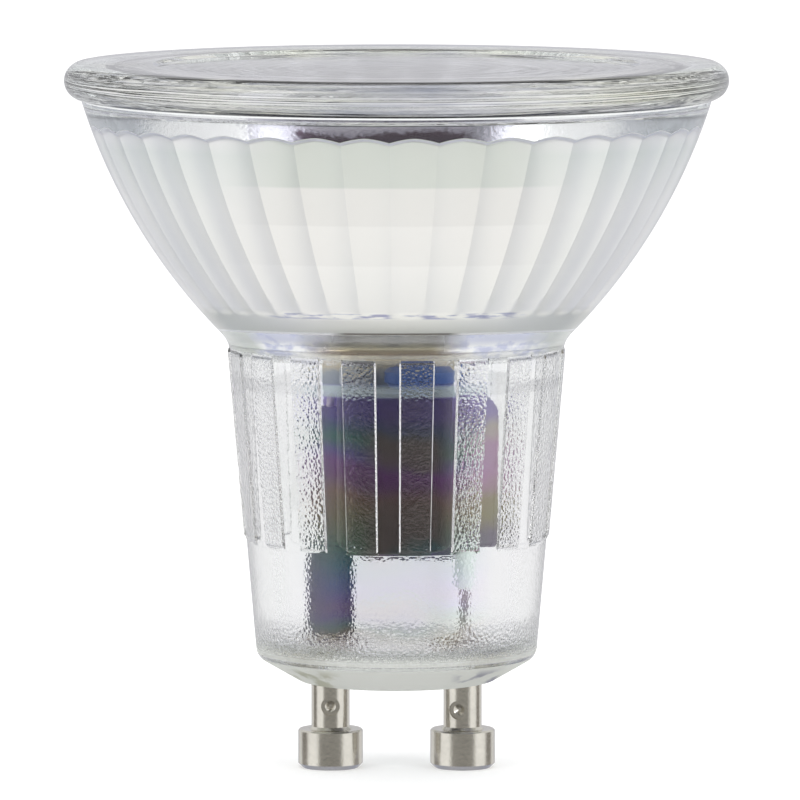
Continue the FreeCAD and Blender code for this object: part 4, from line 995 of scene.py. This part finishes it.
# %% Dress the CAD nodes
nickel = finish("nickel", (0.66, 0.635, 0.575), 0.2, metallic=1.0, scale=600.0, amount=0.35, bump=0.25)
tin = finish("tinned_wire", (0.42, 0.38, 0.38), 0.35, metallic=1.0)
solder = finish("solder", (0.72, 0.72, 0.74), 0.3, metallic=1.0, scale=1500.0, bump=0.5)
aluminium = finish("can_metal", (0.8, 0.81, 0.82), 0.35, metallic=1.0)
can_wrap = finish("can_wrap", (0.006, 0.005, 0.006), 0.4, specular=0.06)
steel = finish("washer_steel", (0.14, 0.11, 0.1), 0.4, metallic=1.0)
dressed = {
    "lens_seal": finish("seal_clear", (0.86, 0.87, 0.87), 0.35),
    "led_board": finish("board_white", (0.86, 0.86, 0.84), 0.5, bump=0.1),
    "led_chips": finish("chip_package", (0.9, 0.88, 0.8), 0.45),
    "board_adhesive": finish("white_glue", (0.88, 0.88, 0.87), 0.4, bump=0.8, bump_scale=1500.0),
    "tongue_solder": solder,
    "solder_joints": solder,
    "driver_board": laminate_material(),
    "capacitor_bung": finish("bung_rubber", (0.03, 0.03, 0.03), 0.7),
    "capacitor_legs": tin,
    "varistor": finish("disc_lacquer", (0.01, 0.075, 0.3), 0.35, specular=0.3),
    "film_capacitor": finish("film_case", (0.45, 0.47, 0.5), 0.35),
    "transformer_core": finish("ferrite", (0.07, 0.07, 0.075), 0.55, bump=0.5),
    "transformer_bobbin": finish("bobbin_plastic", (0.05, 0.05, 0.05), 0.5),
    "transformer_winding": finish("coil_tape", (0.75, 0.5, 0.08), 0.35),
    "bridge_rectifier": finish("chip_black", (0.03, 0.03, 0.033), 0.45),
    "fuse_resistor": finish("fuse_body", (0.4, 0.52, 0.45), 0.6),
    "fuse_leads": tin,
    "fuse_sleeve": finish("dark_shrink", (0.009, 0.01, 0.032), 0.4, specular=0.08),
    "right_lead": tin,
    "right_lead_sleeve": finish("pale_shrink", (0.88, 0.94, 0.9), 0.4),
    "contact_pin_left": nickel,
    "contact_pin_right": nickel,
    "rivet_washer_left": steel,
    "rivet_washer_right": steel,
}
for name in ("control_chip", "rectifier_diode", "chip_resistors"):
    dressed[name] = dressed["bridge_rectifier"]
dressed["input_choke"] = dressed["transformer_core"]
for name, material in dressed.items():
    dress(name, material)
print("dressed", len(dressed), "of", len(nodes), "nodes; pieces of this script replace the rest")

# %% [markdown]
# ## The capacitor's can and wrap
# The can's rim is rolled in round the bung, so its foot is rounded, and the wrap is shrunk over that round.
# Both are turned: the can is a closed cup, the wrap a skin over it that laps over the top edge.

# %% Capacitor
CAN_PLACE, CAN_FOOT_Z, CAN_TOP_Z = (-0.13, -3.6), 17.2, 29.2
CAN_R, CAN_TOP_ROUND, BUNG_R, BUNG_DEPTH = 4.07, 0.35, 3.25, 1.3
WRAP_R, WRAP_LAP_R, WRAP_WALL, WRAP_FOOT_ROUND, WRAP_GAP = 4.2, 3.32, 0.12, 0.92, 0.01
lap_z = CAN_TOP_Z + WRAP_WALL
inner_r, inner_top, inner_foot = CAN_R + WRAP_GAP, CAN_TOP_Z + WRAP_GAP, CAN_FOOT_Z + WRAP_WALL + WRAP_GAP
can_foot = inner_foot + WRAP_GAP
can_rounds = [0, WRAP_FOOT_ROUND - WRAP_WALL, CAN_TOP_ROUND]
can_outline = rounded_line([(BUNG_R, CAN_FOOT_Z + BUNG_DEPTH), (BUNG_R, can_foot), (CAN_R, can_foot),
                            (CAN_R, CAN_TOP_Z), (0, CAN_TOP_Z)], can_rounds, step=1.0, round_step=0.1)
can_outline = np.concatenate([[[0, CAN_FOOT_Z + BUNG_DEPTH]], can_outline])
capacitor_cup = turned_piece("capacitor_cup", can_outline, 96, aluminium, CAN_PLACE)
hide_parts("capacitor_can")
wrap_outer = rounded_line([(BUNG_R, CAN_FOOT_Z), (WRAP_R, CAN_FOOT_Z), (WRAP_R, lap_z), (WRAP_LAP_R, lap_z)],
                          [WRAP_FOOT_ROUND, CAN_TOP_ROUND], step=1.0, round_step=0.1)
inner_rounds = [CAN_TOP_ROUND, WRAP_FOOT_ROUND - WRAP_WALL - WRAP_GAP]
wrap_inner = rounded_line([(WRAP_LAP_R, inner_top), (inner_r, inner_top), (inner_r, inner_foot),
                           (BUNG_R, inner_foot)], inner_rounds, step=1.0, round_step=0.1)
wrap_outline = np.concatenate([wrap_outer, wrap_inner, wrap_outer[:1]])
capacitor_skin = turned_piece("capacitor_skin", wrap_outline, 96, can_wrap, CAN_PLACE)
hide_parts("capacitor_sleeve")

# %% [markdown]
# ## Floor
# The bulb stands on a white sheet, which takes its shadow. A real sheet would curve up behind it; here the
# sheet is flat and wide, and the world goes on in the same white. It is hidden from mirror and glass rays,
# which meet the world's table top in its place.

# %% Floor
FLOOR_R = 3.0
FLOOR_GLOW = 0.22
floor_ring = ring_points(FLOOR_R, np.arange(96) * TAU / 96, 0.0)
floor_mesh = bpy.data.meshes.new("floor")
floor_mesh.from_pydata(floor_ring.tolist(), [], [list(range(len(floor_ring)))])
floor = bpy.data.objects.new("floor", floor_mesh)
bpy.context.scene.collection.objects.link(floor)


def floor_material():
    """White paper: matt, with a little emission for the camera, as the tent's light gives it."""
    material, tree, shader = new_material("white_paper")
    path = add(tree, "LightPath").outputs
    seen = maths(tree, "MAXIMUM", path["Is Camera Ray"], path["Is Glossy Ray"], path["Is Transmission Ray"])
    fill(tree, shader, Base_Color=0.9, Roughness=0.9, Specular_IOR_Level=0.0, Emission_Color=1.0,
         Emission_Strength=times(tree, seen, FLOOR_GLOW))
    return material


floor_mesh.materials.append(floor_material())
floor.visible_glossy = False
floor.visible_transmission = False
print("floor radius", FLOOR_R, "m")

# %% [markdown]
# ## World
# The camera, and glass it looks through, see a plain white background. Polished metal and glass need
# something to reflect: for mirror rays the world is a room, with soft bright panels and greyer gaps between
# them. Its colours are ramps over the turn away from the camera's side, one for each band of height.

# %% World
TENT_LEVEL = 0.95


def turn_ramp(tree, turn, *stops):
    """A ramp over the turn away from the camera's side; stops are (degrees, colour) pairs."""
    return colour_ramp(tree, turn, 0, 180, stops)


def tent_world():
    """White for the camera. Mirror rays see the room: near the horizon a darker room behind the camera,
    bright panels at its sides and narrow dark gaps before the backdrop; just below it the dark front of the
    table, then its white top, lavender grey further back; above the horizon the dark camera stand. Rays that
    leave through glass see white near the horizon. Everything else gets an even level."""
    world = bpy.data.worlds.new("tent")
    bpy.context.scene.world = world
    world.use_nodes = True
    tree = world.node_tree
    towards = add(tree, "SeparateXYZ", Vector=add(tree, "TexCoord").outputs["Generated"]).outputs
    aside, away = maths(tree, "ABSOLUTE", towards["X"]), times(tree, towards["Y"], -1.0)
    turn = maths(tree, "DIVIDE", maths(tree, "ARCTAN2", aside, away), math.pi)
    horizon = turn_ramp(tree, turn, (0, (0.4, 0.39, 0.36)), (38, (0.42, 0.41, 0.38)), (50, 1.15), (84, 1.1),
                        (96, (0.2, 0.18, 0.15)), (116, (0.22, 0.2, 0.17)), (128, 0.95),
                        (160, (0.62, 0.62, 0.65)))
    behind_glass = turn_ramp(tree, turn, (0, 0.48), (40, 0.5), (58, 1.0))
    table = turn_ramp(tree, turn, (0, (1.0, 0.99, 0.97)), (84, (0.97, 0.97, 0.96)), (104, (0.72, 0.73, 0.76)),
                      (124, (0.5, 0.52, 0.6)), (150, (0.42, 0.44, 0.54)), (180, (0.5, 0.52, 0.62)))
    above = turn_ramp(tree, turn, (0, (0.05, 0.035, 0.05)), (34, (0.09, 0.06, 0.09)), (44, 1.2), (90, 0.9),
                      (180, 0.8))
    table_front = turn_ramp(tree, turn, (0, (0.12, 0.12, 0.14)), (34, (0.14, 0.14, 0.16)), (50, 1.1),
                            (84, 1.0), (104, (0.7, 0.7, 0.74)), (180, (0.75, 0.75, 0.78)))
    path = add(tree, "LightPath").outputs
    room = colour_mix(tree, path["Is Transmission Ray"], horizon, behind_glass)
    room = colour_mix(tree, fade(tree, towards["Z"], -0.15, -0.2), room, table_front)
    room = colour_mix(tree, fade(tree, towards["Z"], -0.34, -0.48), room, table)
    room = colour_mix(tree, fade(tree, towards["Z"], 0.2, 0.4), room, above)
    sharp_ray = maths(tree, "MAXIMUM", path["Is Glossy Ray"], path["Is Transmission Ray"])
    level = colour_mix(tree, sharp_ray, TENT_LEVEL, room)
    level = colour_mix(tree, path["Is Camera Ray"], level, 1.0)
    fill(tree, tree.nodes["Background"], Color=level)
    print("world:", world.name, "with", len(tree.nodes), "nodes")


tent_world()

# %% [markdown]
# ## Lamps
# Two softboxes stand at the front to the left and right, a wider one hangs above. They are large for so small
# a bulb, so its shadow is soft and the glare on the glass has no hard edge.

# %% Lamps
AIM = Vector((0, 0, 0.03))


def soft_lamp(name, place, size, watts):
    """A rectangular softbox aimed at the middle of the bulb, with its place and sides in metres."""
    data = bpy.data.lights.new(name, "AREA")
    data.shape = "RECTANGLE"
    data.size, data.size_y = size
    data.energy = watts
    lamp = bpy.data.objects.new(name, data)
    lamp.location = place
    lamp.rotation_euler = (AIM - lamp.location).to_track_quat("-Z", "Y").to_euler()
    bpy.context.scene.collection.objects.link(lamp)
    print(name, watts, "W")


soft_lamp("left_softbox", (-0.55, -0.5, 0.45), (0.25, 0.5), 0.9)
soft_lamp("right_softbox", (0.55, -0.5, 0.45), (0.25, 0.5), 0.9)
soft_lamp("top_softbox", (0.0, 0.15, 0.8), (0.5, 0.5), 1.2)
